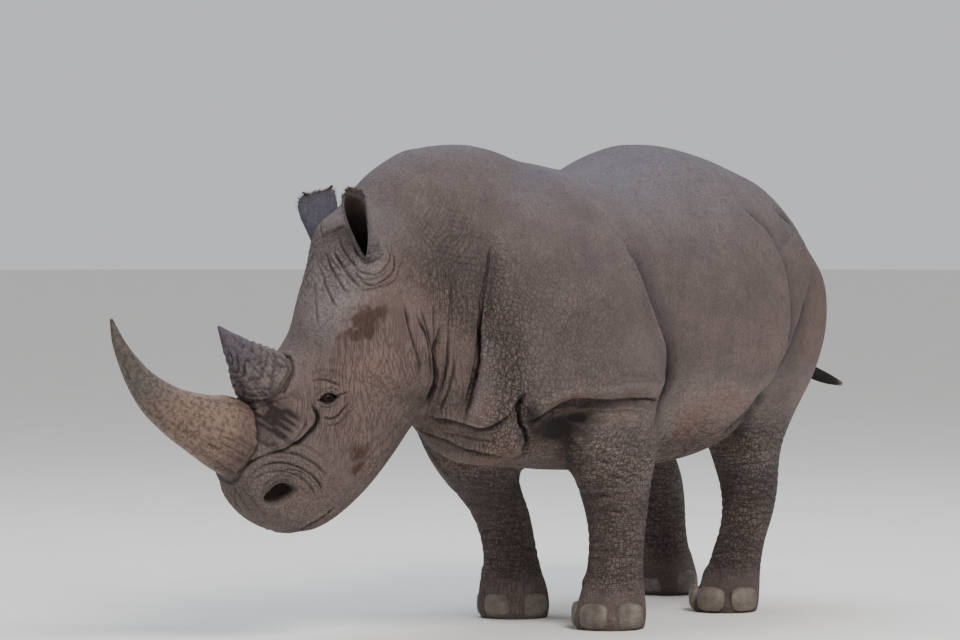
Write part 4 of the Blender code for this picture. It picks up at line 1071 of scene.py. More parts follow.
def markings(hide):
    """Tints of dirt and stains, of painted shade and light, and of the skin's own tone, each from the shape and from
    smooth fields.
    """
    x, y, z = hide.points.T
    every = np.arange(len(x))
    along, out, up = in_head_frame(hide.points)
    in_head = smooth(-0.12, 0.02, along) * (np.abs(out) < 0.33) * (up > -0.62) * (up < 0.34)
    field = noise(hide.points, 0.12, 81)
    fine = noise(hide.points, 0.03, 82) + 0.6 * noise(hide.points, 0.012, 83)
    for place, reach in (
        ((0.22, -0.19, 0.00), 0.070), ((0.29, -0.19, 0.02), 0.045), ((0.17, -0.20, -0.03), 0.040),
        ((0.59, -0.17, -0.28), 0.050), ((0.63, -0.16, -0.32), 0.040),
    ):
        for side in (-1, 1):
            spot = np.array(head_point(place[0], place[1] * -side, place[2]))
            far = np.linalg.norm(hide.points - spot, axis=1) / reach
            amount = 1 - smooth(0.10, 1.45, far + 0.45 * fine + 0.2 * field)
            hide.tint("MudAndShade", every, amount * (1.0 if side < 0 else 0.6))
    stain = np.exp(-(((along - 0.675) / 0.082) ** 2 + ((up - 0.060) / 0.062) ** 2)) * (np.abs(out) > 0.02)
    drips = smooth(-0.3, 0.5, noise(np.stack([along, out, up], axis=1), np.array([0.012, 0.03, 0.09]), 84))
    hide.tint("Stain", every, np.clip(3.0 * stain * (0.30 + 0.70 * drips) - 0.15, 0, 0.96))
    # painted shadow over the hind legs, below the belly
    hind = smooth(0.55, 0.75, x) * (1 - smooth(0.95, 1.15, x + 0.5 * (z - 0.9))) * (1 - smooth(0.80, 0.98, z))
    hide.tint("PaintedShade", every, 0.20 * hind * (np.abs(y) > 0.1))
    # faces turned down under the body get painted light bounced up from the ground, reddish and light
    down = smooth(-0.05, 0.55, -hide.normals[:, 2]) * smooth(0.48, 0.6, z) * (1 - smooth(0.85, 1.0, z))
    warm_and_bounce = 0.80 * np.exp(-(((along - 0.36) / 0.20) ** 2 + ((up + 0.15) / 0.17) ** 2)) * (np.abs(out) < 0.3)
    warm_and_bounce = np.maximum(warm_and_bounce, 0.35 * in_head)
    warm_and_bounce = np.maximum(warm_and_bounce, 0.60 * np.exp(-(((x + 0.82) / 0.10) ** 2 + ((z - 1.06) / 0.15) ** 2)))
    warm_and_bounce = np.maximum(warm_and_bounce, 0.9 * down * (1 - in_head))
    thigh = np.exp(-(((x - 1.15) / 0.28) ** 2 + ((z - 1.15) / 0.30) ** 2)) * smooth(0.95, 1.15, x + 0.25 * (1.3 - z))
    warm_and_bounce = np.maximum(warm_and_bounce, 0.62 * thigh)
    warm_and_bounce = np.maximum(warm_and_bounce, 0.26 * np.exp(-(((x - 0.75) / 0.35) ** 2 + ((z - 1.1) / 0.35) ** 2)))
    warm_and_bounce = np.maximum(warm_and_bounce, 0.20 * (1 - smooth(0.62, 1.25, z)))
    hide.tint("WarmAndBounce", every, np.clip(warm_and_bounce * (0.85 + 0.4 * field), 0, 1))
    # paler over the top of the body: painted sky light
    pale_and_lit = 0.27 * smooth(1.25, 1.68, z + 0.06 * field) * (1 - in_head) * (0.10 + 0.90 * smooth(-0.30, 0.15, x))
    pale_and_lit = np.maximum(pale_and_lit, 0.90 * down * (1 - in_head))
    brow = np.exp(-(((along - 0.20) / 0.24) ** 2)) * smooth(-0.02, 0.10, up) * (np.abs(out) < 0.22)
    pale_and_lit = np.maximum(pale_and_lit, 0.95 * brow)
    pale_and_lit = np.maximum(pale_and_lit, 0.20 * in_head * smooth(0.6, 0.75, along))
    hide.tint("PaleAndLit", every, np.clip(pale_and_lit, 0, 1))
    # bluish painted sky light on faces turned up over the back
    hide.tint("SkyLight", every, 0.45 * smooth(0.55, 0.95, hide.normals[:, 2]) * smooth(1.2, 1.5, z) * (1 - in_head))


# ---- ears
def ear_root(side, tree):
    """How far along an ear's axis the head's skin is, and where."""
    base, tip = (np.array(head_point(*place)) for place in EARS[side][:2])
    for t in np.linspace(0, 0.6, 61):
        spot = base + (tip - base) * t
        near, normal, _, _ = tree.find_nearest(Vector(spot))
        if (Vector(spot) - near).dot(normal) > 0:
            return t, spot
    return 0.0, base


def sink_ear_roots(hide, tree):
    """The head's skin drops away inside each ear, so that the cup is open to its floor."""
    for side in (-1, 1):
        _, root = ear_root(side, tree)
        base, tip = (np.array(head_point(*place)) for place in EARS[side][:2])
        t = np.clip((hide.points - root) @ (tip - base) / ((tip - base) @ (tip - base)), 0, 0.5)
        gap = np.linalg.norm(hide.points - root - t[:, None] * (tip - base), axis=1)
        where = np.flatnonzero(gap < 0.05)
        hide.push(where, -0.040 * (1 - smooth(0.028, 0.048, gap[where])))
        # painted shade on the sunken skin inside each ear
        hide.tint("PaintedShade", where, 1 - smooth(0.040, 0.050, gap[where]))
    hide.settle()


def ear_mesh(side, tree):
    """A cupped leaf: outer face up from a flared root, over the rim, and down into the cup."""
    base, tip, opening = EARS[side]
    base, tip = (np.array(head_point(along, out, up)) for along, out, up in (base, tip))
    length = np.linalg.norm(tip - base)
    axis = (tip - base) / length
    opening = Vector(opening)
    swivel, aside = EAR_TURN[side]
    opening.rotate(Matrix.Rotation(swivel, 3, Vector(axis)))
    opening = np.array(opening)
    opening -= axis * (opening @ axis)
    opening /= np.linalg.norm(opening)
    across = np.cross(axis, opening)
    keys, *columns = zip(*EAR_SHAPE)
    columns = np.array(columns).T
    columns_round, outer_rows, inner_rows = 96, 44, 34
    turn = np.linspace(-math.pi, math.pi, columns_round, endpoint=False)
    from_back = (turn + aside + math.pi) % math.tau - math.pi
    open_to = np.interp(np.degrees(np.abs(from_back)), *EAR_OPENING)

    def place(t, wall):
        half, deep, _, lean, rear = hermite(keys, columns, np.clip(t, 0, 1)).T
        half = half * (1.08 if side > 0 else 1.0)
        wall = np.minimum(wall, 0.45 * deep)
        centre = base + axis * (t * length)[:, None] + opening * lean[:, None] - across * (side * rear)[:, None]
        flat = np.sin(turn) * (half - wall)
        cup = deep - np.cos(turn) * (deep - wall)
        return centre + flat[:, None] * across + cup[:, None] * opening

    start, root = ear_root(side, tree)
    flare = []
    for angle in turn:
        spot = root + (np.sin(angle) * across - np.cos(angle) * opening) * 0.062
        near, normal, _, _ = tree.find_nearest(Vector(spot))
        flare.append(np.array(near) - np.array(normal) * 0.003)
    flare = np.array(flare)
    first = start + 0.05
    rings = []
    for s in np.linspace(0, 1, 12)[:-1]:
        blend = s**0.75
        rings.append(flare * (1 - blend) + place(np.full(columns_round, first * (0.6 + 0.4 * s)), 0 * turn) * blend)
    rim = first + 0.02 + (0.98 - first) * open_to * (1 + 0.012 * np.sin(5 * turn + 1))
    reach = rim
    for s in np.linspace(0, 1, outer_rows):
        rings.append(place(first + (reach - first) * s, 0 * turn))
    outer = len(rings)
    for s in np.linspace(1, 0, inner_rows)[1:]:
        wall = EAR_WALL * smooth(0, 0.10, np.full(columns_round, 1 - s))
        low = first * 0.75
        rings.append(place(low + (reach - low) * s, wall))
    last = rings[-1]
    middle = last.mean(axis=0)
    for s in (0.66, 0.33, 0.05):
        rings.append(middle + (last - middle) * s - axis * 0.06 * (1 - s))
    count = columns_round
    points = np.concatenate(rings)
    faces = []
    for row in range(len(rings) - 1):
        for k in range(count):
            a, b = row * count + k, row * count + (k + 1) % count
            faces.append((a, b, b + count, a + count))
    top = (len(rings) - 1) * count
    faces.append(tuple(range(top, top + count)))
    faces.append(tuple(range(count))[::-1])
    ear = make_object(f"Ear{'Left' if side < 0 else 'Right'}", [(points, faces)])
    level = np.repeat(np.arange(len(rings)), count)
    inside = smooth(outer, outer + 4, level.astype(float))
    height = (points - base) @ axis / length
    deep = inside * (1 - smooth(0.45, 1.0, height))
    rim_near = np.exp(-(((level - outer) / 5.0) ** 2))
    stretch = 0.5 + 0.5 * noise(points, np.array([0.03, 0.03, 0.09]), 91)
    values = dict.fromkeys(SHADES, 0 * height)
    # darker along the rim on the back, painted shade, and in uneven streaks
    values["CreaseShade"] = 0.45 * rim_near * (1 - inside) + 0.2 * stretch * (1 - inside)
    values["Hatch"] = 0.30 + 0.4 * (1 - smooth(0.15, 0.5, height))
    values["Upright"] = 0.4 * (1 - inside)
    values["Level"] = 0.9 * (1 - inside) * (1 - smooth(0.15, 0.45, height))
    # the whole inside of the cup darkened to the dirt tint's brown: painted shade
    values["MudAndShade"] = np.clip(0.9 * inside, 0, 1)
    # bluish painted sky light on the back of the ear, strongest on the right ear
    values["SkyLight"] = (0.95 if side > 0 else 0.15) * (1 - inside) * smooth(0.1, 0.45, height)
    # lighter on the back, with a painted highlight along the rim
    values["PaleAndLit"] = np.clip(0.55 * (1 - inside) + 0.8 * rim_near, 0, 1)
    # painted shade deep in the cup and on its floor
    floor = smooth(outer + inner_rows - 8, outer + inner_rows - 1, level.astype(float))
    values["PaintedShade"] = np.clip(1.05 * deep + 0.05 * inside + floor, 0, 1)
    for name, value in values.items():
        ear.data.attributes.new(name, "FLOAT", "POINT").data.foreach_set("value", value.astype(np.float32))
    edge = rings[outer - 1]
    middle_line = base + axis * 0.6 * length + opening * 0.02
    outward = edge - middle_line
    outward /= np.linalg.norm(outward, axis=1)[:, None]
    return ear, edge, outward, rim


def join(objects, name):
    bpy.ops.object.select_all(action="DESELECT")
    for obj in objects:
        obj.select_set(True)
    bpy.context.view_layer.objects.active = objects[0]
    bpy.ops.object.join()
    objects[0].name = objects[0].data.name = name
    return objects[0]


# ---- strands of hair
def skin_unwrap(points):
    """Where points lie on the skin rolled out flat: along the body, and round it."""
    low, high = np.array(CAD_LOW), np.array(CAD_HIGH)
    u = (points[:, 0] - low[0]) / (high[0] - low[0])
    v = np.arctan2(points[:, 1], points[:, 2] - 1.0) / math.tau + 0.5
    return np.stack([u, v], axis=1) * 0.98 + 0.01


def strands(name, lines, widths, sides=4):
    """Tapered hairs along the given lines, all in one mesh, each with its patch of the skin's unwrap."""
    points, faces, spots = [], [], []
    turn = np.arange(sides) * math.tau / sides
    start = 0
    for line, width in zip(lines, widths):
        run = np.gradient(line, axis=0)
        run /= np.linalg.norm(run, axis=1)[:, None] + 1e-9
        first = np.cross(run, [0.3, 0.5, 0.8])
        first /= np.linalg.norm(first, axis=1)[:, None]
        second = np.cross(run, first)
        taper = width * (1 - np.linspace(0, 1, len(line)) ** 1.5 * 0.85)
        ring = np.cos(turn)[None, :, None] * first[:, None] + np.sin(turn)[None, :, None] * second[:, None]
        points.append((line[:, None] + ring * taper[:, None, None]).reshape(-1, 3))
        for row in range(len(line) - 1):
            for k in range(sides):
                a, b = start + row * sides + k, start + row * sides + (k + 1) % sides
                faces.append((a, b, b + sides, a + sides))
        faces.append(tuple(start + k for k in range(sides))[::-1])
        faces.append(tuple(start + (len(line) - 1) * sides + k for k in range(sides)))
        root = skin_unwrap(line[:1] + SHIFT)[0]
        along = np.repeat(np.linspace(0, 1, len(line)), sides)
        around = np.tile(np.arange(sides) / sides, len(line))
        spots.append(root + 0.003 * (np.stack([along, around], axis=1) - 0.5))
        start += len(line) * sides
    hair = make_object(name, [(np.concatenate(points), faces)])
    spots = np.concatenate(spots)
    layer = hair.data.uv_layers.new(name="OFBake")
    loops = np.empty(len(hair.data.loops), np.int32)
    hair.data.loops.foreach_get("vertex_index", loops)
    layer.data.foreach_set("uv", spots[loops].ravel().astype(np.float32))
    return hair


def tuft():
    """Coarse hairs from the end of the tail, which keep to the tuft's own bent shape."""
    rng = np.random.default_rng(5)
    rows = np.asarray(TUFT, float)
    keys = np.linspace(0, 1, len(rows))
    lines, widths = [], []
    for _ in range(420):
        begin = rng.uniform(0.0, 0.45)
        end = rng.uniform(0.75, 1.0)
        t = np.linspace(begin, end, 8)
        path = hermite(keys, rows, t)
        angle, reach = rng.uniform(0, math.tau), math.sqrt(rng.uniform(0, 1))
        sway = np.cumsum(rng.normal(0, 0.05, 8))
        run = rows[-1, :3] - rows[0, :3]
        run /= np.linalg.norm(run)
        first = np.cross(run, [0, 0, 1.0])
        first /= np.linalg.norm(first)
        second = np.cross(run, first)
        spread = (path[:, 3] * reach)[:, None]
        round_it = np.cos(angle + sway)[:, None] * first + np.sin(angle + sway)[:, None] * second
        lines.append(path[:, :3] + spread * round_it)
        widths.append(rng.uniform(0.0007, 0.0013))
    return strands("TailTuft", lines, widths)


def fringe(name, edge, outward, rim, seed):
    """Short hairs along the rim of an ear, thickest at its top."""
    rng = np.random.default_rng(seed)
    lines, widths = [], []
    weight = np.clip(rim - 0.35, 0.02, 1) ** 1.5
    picks = rng.choice(len(edge), 420, p=weight / weight.sum())
    for k in picks:
        other = (k + rng.integers(0, 2)) % len(edge)
        root = edge[k] + (edge[other] - edge[k]) * rng.uniform()
        out = outward[k] + rng.normal(0, 0.28, 3)
        out /= np.linalg.norm(out)
        length = rng.uniform(0.008, 0.020)
        t = np.linspace(-0.15, 1, 5)[:, None]
        droop = np.array([0, 0, -0.25]) * length * np.clip(t, 0, 1) ** 2
        lines.append(root + out * length * t + droop)
        widths.append(rng.uniform(0.0005, 0.0009))
    return strands(name, lines, widths, sides=3)


# ---- horns, nails and eyes
def horn(name, rows, rings, sides, rough_base, layers, ridges, fibre):
    points, faces = horn_form(rows, rings, sides)
    total = len(points) // sides
    level = np.repeat(np.arange(total) / (total - 1), sides)
    ring = points.reshape(total, sides, 3)
    out = points - np.repeat(ring.mean(axis=1), sides, axis=0)
    radius = np.linalg.norm(out, axis=1) + 1e-9
    out /= radius[:, None]
    turn = np.tile(np.arange(sides) * math.tau / sides, total)
    tube = np.stack([np.cos(turn), np.sin(turn), level * 3], axis=1)
    fibres = noise(tube, np.array([0.060, 0.060, 0.7]), 3) + 0.6 * noise(tube, np.array([0.030, 0.030, 0.30]), 4)
    broad = noise(tube, np.array([0.35, 0.35, 0.5]), 5)
    ragged = level + 0.035 * noise(tube, np.array([0.10, 0.10, 0.2]), 7)
    base = 1 - smooth(0.60 * rough_base, rough_base, ragged)
    wave = level * ridges + 1.1 * noise(tube, np.array([0.50, 0.50, 0.5]), 6) + 0.3 * broad
    steps = (wave % 1) ** 2
    size = np.minimum(1, radius / 0.04)
    amount = (0.0010 + fibre * base) * fibres + 0.003 * broad + layers * base * (steps - 0.4)
    piece = make_object(name, [(points + out * (amount * size)[:, None] - out * 0.002, faces)])
    # darker along the fibres and in the steps between layers: partly grain, partly painted shade in the grooves
    groove = -fibres * (0.3 + 300 * fibre * base) + 150 * layers * base * (1 - smooth(0.0, 0.42, wave % 1))
    groove = np.clip(groove, 0, 1)
    for key, value in (("Along", level), ("Turn", np.sin(turn)), ("Base", base), ("GrooveShade", groove)):
        piece.data.attributes.new(key, "FLOAT", "POINT").data.foreach_set("value", value.astype(np.float32))
    piece.data.shade_smooth()
    return piece


def nail_places():
    """Three nails to a foot: one ahead and one either side of it."""
    for name, (swing, _) in LEGS.items():
        rows = FORELEG if "front" in name else HINDLEG
        side = -1 if "left" in name else 1
        z, x, out, front, rear, half, power = rows[-2]
        for place, turn in (("outer", 62), ("middle", 0), ("inner", -62)):
            turn = math.radians(turn) * side
            deep, wide = front * math.cos(turn), half * math.sin(turn)
            centre = Vector((x + swing - deep * NAIL_INSET, side * out + wide * NAIL_INSET, NAIL_HEIGHT))
            yield f"nail_{name[4:]}_{place}", centre, Matrix.Rotation(-turn, 3, "Z")


def nails():
    """Broad worn plates, one at each toe, with faint growth ridges."""
    shapes = []
    for k, (_, centre, turn) in enumerate(nail_places()):
        bm = bmesh.new()
        bmesh.ops.create_uvsphere(bm, u_segments=40, v_segments=28, radius=1)
        unit = np.array([v.co[:] for v in bm.verts])
        faces = [tuple(v.index for v in f.verts) for f in bm.faces]
        bm.free()
        squared = np.sign(unit) * np.abs(unit) ** np.array([0.9, 0.60, 0.70])
        bands = 0.012 * np.sin(unit[:, 2] * 26 + 2 * noise(unit * 2 + k, 1.0, 9))
        ridge = 0.93 + bands + 0.03 * noise(unit * 3 + 5 * k, 1.0, 8)
        sized = squared * ridge[:, None] * (np.array(NAIL_SIZE) - 0.0008)
        sized[:, 2] = np.maximum(sized[:, 2], -NAIL_HEIGHT + 0.004)
        shapes.append((sized @ np.array(turn).T + np.array(centre), faces))
    piece = make_object("Nails", shapes)
    piece.data.shade_smooth()
    return piece


def eyeball(name, centre, radius, out):
    bm = bmesh.new()
    bmesh.ops.create_uvsphere(bm, u_segments=64, v_segments=48, radius=radius)
    unit = np.array([v.co[:] for v in bm.verts]) / radius
    faces = [tuple(v.index for v in f.verts) for f in bm.faces]
    bm.free()
    swell = np.exp(-(((unit[:, 2] - 1) / 0.10) ** 2)) * 0.0009
    turn = np.array(Vector((0, 0, 1)).rotation_difference(Vector(out)).to_matrix())
    points = (unit * (radius - 0.001 + swell)[:, None]) @ turn.T + centre
    piece = make_object(name, [(points, faces)])
    off_axis = np.degrees(np.arccos(np.clip(unit[:, 2], -1, 1)))
    piece.data.attributes.new("Off", "FLOAT", "POINT").data.foreach_set("value", off_axis.astype(np.float32))
    piece.data.shade_smooth()
    return piece


# ---- finishes
class Finish:
    """A material being wired up."""

    def __init__(self, name):
        self.material = bpy.data.materials.new(name)
        self.material.use_nodes = True
        self.nodes = self.material.node_tree.nodes
        self.links = self.material.node_tree.links
        self.shader = self.nodes["Principled BSDF"]

    def add(self, kind, inputs=None, **settings):
        node = self.nodes.new(kind)
        for key, value in settings.items():
            setattr(node, key, value)
        for key, value in (inputs or {}).items():
            self.put(node.inputs[key], value)
        return node

    def put(self, socket, value):
        if isinstance(value, bpy.types.NodeSocket):
            self.links.new(value, socket)
        else:
            socket.default_value = value

    def maths(self, operation, *values, clamp=False):
        node = self.add("ShaderNodeMath", operation=operation, use_clamp=clamp)
        for k, value in enumerate(values):
            self.put(node.inputs[k], value)
        return node.outputs[0]

    def mixed(self, factor, a, b, blend="MIX"):
        node = self.add("ShaderNodeMix", data_type="RGBA", blend_type=blend)
        for socket, value in zip((node.inputs[0], node.inputs[6], node.inputs[7]), (factor, a, b)):
            self.put(socket, value)
        return node.outputs[2]

    def ramp(self, value, *stops):
        node = self.add("ShaderNodeMapRange", {"Value": value}, interpolation_type="SMOOTHSTEP")
        for key, number in zip(("From Min", "From Max", "To Min", "To Max"), stops):
            node.inputs[key].default_value = number
        return node.outputs[0]

    def attribute(self, name):
        return self.add("ShaderNodeAttribute", attribute_name=name).outputs["Fac"]

    def noise(self, vector, scale, detail=3.0, rough=0.55):
        node = self.add("ShaderNodeTexNoise", {"Vector": vector, "Scale": scale, "Detail": detail, "Roughness": rough})
        return node.outputs["Fac"]

    def voronoi(self, vector, scale, feature="DISTANCE_TO_EDGE"):
        node = self.add("ShaderNodeTexVoronoi", {"Vector": vector, "Scale": scale}, feature=feature)
        return node.outputs["Distance"]

    def stretched(self, vector, scale, rotation=(0, 0, 0)):
        return self.add("ShaderNodeMapping", {"Vector": vector, "Scale": scale, "Rotation": rotation}).outputs[0]

    def warped(self, vector, scale, amount):
        wave = self.add("ShaderNodeTexNoise", {"Vector": vector, "Scale": scale, "Detail": 3.0}).outputs["Color"]
        shifted = self.add("ShaderNodeVectorMath", {0: wave, 1: (0.5, 0.5, 0.5)}, operation="SUBTRACT").outputs[0]
        sized = self.add("ShaderNodeVectorMath", {0: shifted, "Scale": amount}, operation="SCALE").outputs[0]
        return self.add("ShaderNodeVectorMath", {0: vector, 1: sized}, operation="ADD").outputs[0]

    def bump(self, height, distance, strength=1.0):
        node = self.add("ShaderNodeBump", {"Height": height, "Distance": distance, "Strength": strength})
        self.links.new(node.outputs[0], self.shader.inputs["Normal"])


def hide_finish():
    f = Finish("Hide")
    spot = f.add("ShaderNodeTexCoord").outputs["Object"]
    bent = f.warped(spot, 14.0, 0.030)
    hatch, crease_shade, mud_and_shade = f.attribute("Hatch"), f.attribute("CreaseShade"), f.attribute("MudAndShade")
    warm_and_bounce, pale_and_lit, sky_light, dark = (f.attribute(name) for name in ("WarmAndBounce", "PaleAndLit", "SkyLight", "PaintedShade"))
    coarse = f.voronoi(f.stretched(bent, (1.0, 1.0, 0.72)), 64.0)
    fine = f.voronoi(f.warped(spot, 40.0, 0.010), 165.0)
    plates = f.ramp(coarse, 0.0, 0.18, 0.0, 1.0)
    grains = f.ramp(fine, 0.0, 0.24, 0.0, 1.0)
    pebble = f.noise(spot, 280.0, 4.0, 0.65)
    broad = f.noise(bent, 7.0, 4.0, 0.6)
    patch = f.noise(spot, 26.0, 5.0, 0.65)
    soft = f.warped(spot, 6.0, 0.022)
    lines = []
    for name, turn, scale in (
        ("Upright", (0, 0, 0), (68, 68, 4.5)), ("Slant", (0, -0.75, 0), (60, 25, 9)), ("Level", (0, 0, 0), (10, 10, 55)),
    ):
        along = f.stretched(f.stretched(soft, (1, 1, 1), turn), scale)
        value = f.noise(along, 1.0, 2.0, 0.5)
        lines.append((f.attribute(name), f.ramp(f.maths("ABSOLUTE", f.maths("SUBTRACT", value, 0.5)), 0.0, 0.07, 1.0, 0.0)))
    scored = f.maths("MULTIPLY", *lines[0])
    for weight, line in lines[1:]:
        scored = f.maths("MAXIMUM", scored, f.maths("MULTIPLY", weight, line))
    height = f.maths("MULTIPLY_ADD", plates, f.maths("MULTIPLY", hatch, 1.0, clamp=True), f.maths("MULTIPLY", grains, 0.42))
    height = f.maths("MULTIPLY_ADD", pebble, 0.25, height)
    height = f.maths("MULTIPLY_ADD", patch, 0.30, height)
    height = f.maths("MULTIPLY_ADD", scored, -0.9, height)
    f.bump(height, 0.0038, 1.0)

    colour = f.mixed(f.ramp(broad, 0.32, 0.68, 0.0, 1.0), (0.138, 0.104, 0.098, 1), (0.102, 0.078, 0.075, 1))
    # the light, bluish and reddish tints: partly the skin's own tone, partly painted sky light, bounce light and
    # highlights
    colour = f.mixed(pale_and_lit, colour, (0.235, 0.214, 0.222, 1))
    colour = f.mixed(sky_light, colour, (0.118, 0.116, 0.158, 1))
    colour = f.mixed(warm_and_bounce, colour, (0.215, 0.140, 0.110, 1))
    colour = f.mixed(f.ramp(patch, 0.42, 0.74, 0.0, 0.40), colour, (0.070, 0.052, 0.048, 1))
    # dirt on the face, and painted shade inside the ear cups
    mud_and_shade_mix = f.ramp(f.maths("MULTIPLY_ADD", patch, 0.9, mud_and_shade), 0.55, 1.45, 0.0, 0.92)
    colour = f.mixed(mud_and_shade_mix, colour, (0.060, 0.030, 0.019, 1))
    colour = f.mixed(f.attribute("Stain"), colour, (0.009, 0.004, 0.006, 1))
    # painted shade in the cracks between plates, the fine cracks and the scored lines
    seams = f.maths("MULTIPLY", f.ramp(coarse, 0.0, 0.12, 0.90, 0.0), hatch, clamp=True)
    colour = f.mixed(seams, colour, (0.034, 0.022, 0.019, 1))
    colour = f.mixed(f.ramp(fine, 0.0, 0.16, 0.42, 0.0), colour, (0.040, 0.028, 0.025, 1))
    colour = f.mixed(f.maths("MULTIPLY", scored, 0.62, clamp=True), colour, (0.028, 0.018, 0.015, 1))
    # painted shade in creases, cracks and grooves
    colour = f.mixed(f.maths("MULTIPLY", crease_shade, 0.90, clamp=True), colour, (0.014, 0.009, 0.008, 1))
    # painted shade: hollows, the low side of folds, ear cups, nostrils, lid rims and the hind legs
    colour = f.mixed(f.maths("MULTIPLY", dark, 0.96, clamp=True), colour, (0.009, 0.006, 0.005, 1))
    f.put(f.shader.inputs["Base Color"], colour)
    f.put(f.shader.inputs["Roughness"], f.ramp(pebble, 0.3, 0.8, 0.70, 0.90))
    f.shader.inputs["Specular IOR Level"].default_value = 0.32
    return f.material


def horn_finish(name, tip, middle, base, flank, reach):
    f = Finish(name)
    spot = f.add("ShaderNodeTexCoord").outputs["Object"]
    along, turn = f.attribute("Along"), f.attribute("Turn")
    line = f.add("ShaderNodeCombineXYZ", {"X": turn, "Y": f.maths("MULTIPLY", along, 0.12), "Z": 0.0}).outputs[0]
    fibres = f.noise(line, 75.0, 5.0, 0.7)
    mottle = f.noise(f.warped(spot, 12.0, 0.05), 60.0, 6.0, 0.7)
    speckle = f.noise(spot, 130.0, 4.0, 0.7)
    blotch = f.noise(spot, 12.0, 3.0, 0.6)
    uneven = f.maths("MULTIPLY_ADD", mottle, 0.10, along)
    colour = f.mixed(f.ramp(uneven, reach, reach + 0.05, 0.0, 1.0), base, middle)
    colour = f.mixed(f.ramp(f.maths("MULTIPLY_ADD", blotch, 0.25, along), 0.50, 0.80, 0.0, 1.0), colour, tip)
    colour = f.mixed(f.ramp(mottle, 0.42, 0.62, 0.0, 0.85), colour, flank)
    colour = f.mixed(f.ramp(speckle, 0.56, 0.72, 0.0, 0.40), colour, (0.190, 0.150, 0.130, 1))
    colour = f.mixed(f.ramp(fibres, 0.50, 0.30, 0.0, 0.6), colour, (0.045, 0.034, 0.028, 1))
    # partly grain, partly painted shade in the grooves
    colour = f.mixed(f.maths("MULTIPLY", f.attribute("GrooveShade"), 0.7, clamp=True), colour, (0.022, 0.015, 0.013, 1))
    f.put(f.shader.inputs["Base Color"], colour)
    height = f.maths("MULTIPLY_ADD", fibres, 1.0, f.maths("MULTIPLY", mottle, 0.5))
    height = f.maths("MULTIPLY_ADD", speckle, 0.4, height)
    f.bump(height, 0.0040, 1.0)
    f.put(f.shader.inputs["Roughness"], f.ramp(mottle, 0.3, 0.7, 0.45, 0.70))
    f.shader.inputs["Specular IOR Level"].default_value = 0.35
    return f.material


def nail_finish():
    f = Finish("Nail")
    spot = f.add("ShaderNodeTexCoord").outputs["Object"]
    stripes = f.noise(f.stretched(spot, (1.0, 1.0, 6.0)), 45.0, 5.0, 0.65)
    stains = f.noise(spot, 20.0, 4.0, 0.6)
    colour = f.mixed(f.ramp(stains, 0.35, 0.7, 0.0, 1.0), (0.155, 0.128, 0.105, 1), (0.085, 0.067, 0.055, 1))
    colour = f.mixed(f.ramp(stripes, 0.55, 0.35, 0.0, 0.5), colour, (0.06, 0.045, 0.036, 1))
    f.put(f.shader.inputs["Base Color"], colour)
    f.bump(stripes, 0.002, 0.7)
    f.put(f.shader.inputs["Roughness"], f.ramp(stains, 0.3, 0.7, 0.5, 0.75))
    return f.material


def eye_finish():
    f = Finish("Eye")
    off = f.attribute("Off")
    spot = f.add("ShaderNodeTexCoord").outputs["Object"]
    streaks = f.noise(spot, 400.0, 3.0, 0.6)
    iris = f.mixed(f.ramp(streaks, 0.35, 0.7, 0.0, 1.0), (0.016, 0.011, 0.007, 1), (0.008, 0.006, 0.005, 1))
    colour = f.mixed(f.ramp(off, 14.0, 17.0, 0.0, 1.0), (0.002, 0.002, 0.002, 1), iris)
    colour = f.mixed(f.ramp(off, 44.0, 52.0, 0.0, 1.0), colour, (0.020, 0.012, 0.010, 1))
    f.put(f.shader.inputs["Base Color"], colour)
    f.bump(streaks, 0.0002, 0.3)
    f.put(f.shader.inputs["Roughness"], f.ramp(streaks, 0.3, 0.7, 0.22, 0.30))
    f.shader.inputs["Specular IOR Level"].default_value = 0.05
    f.shader.inputs["Coat Weight"].default_value = 0.06
    f.shader.inputs["Coat Roughness"].default_value = 0.05
    return f.material


def hair_finish(name, light, deep):
    f = Finish(name)
    spot = f.add("ShaderNodeTexCoord").outputs["Object"]
    locks = f.noise(spot, 90.0, 3.0, 0.6)
    f.put(f.shader.inputs["Base Color"], f.mixed(f.ramp(locks, 0.35, 0.65, 0.0, 1.0), light, deep))
    f.bump(f.noise(spot, 500.0, 2.0, 0.6), 0.0006, 0.5)
    f.put(f.shader.inputs["Roughness"], f.ramp(locks, 0.3, 0.7, 0.45, 0.65))
    return f.material


def floor_finish():
    f = Finish("Floor")
    spot = f.add("ShaderNodeTexCoord").outputs["Object"]
    dust = f.noise(spot, 3.0, 5.0, 0.6)
    tone = f.mixed(f.ramp(dust, 0.3, 0.7, 0.0, 1.0), (0.76, 0.735, 0.70, 1), (0.79, 0.765, 0.73, 1))
    f.put(f.shader.inputs["Base Color"], tone)
    f.shader.inputs["Roughness"].default_value = 0.9
    return f.material


def keep_inside(points):
    """Draws in evenly whatever stands outside the box of the solids, so that nothing is cut flat."""
    low, high = np.array(CAD_LOW) + 0.0006 - SHIFT, np.array(CAD_HIGH) - 0.0006 - SHIFT
    middle = (low + high) / 2
    for limit, way in ((low, -1), (high, 1)):
        knee = middle + 0.55 * (limit - middle)
        over = way * (points - knee)
        furthest = np.maximum(over.max(axis=0), 1e-6)
        squeeze = np.minimum(1, way * (limit - knee) / furthest)
        points = np.where(over > 0, knee + way * over * squeeze, points)
    return np.clip(points, low, high)


def settle_piece(obj, material, slot, *nodes):
    obj.data.transform(Matrix.Translation(SHIFT))
    obj.data.materials.clear()
    obj.data.materials.append(material)
    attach(obj, "root")
    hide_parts(*nodes)


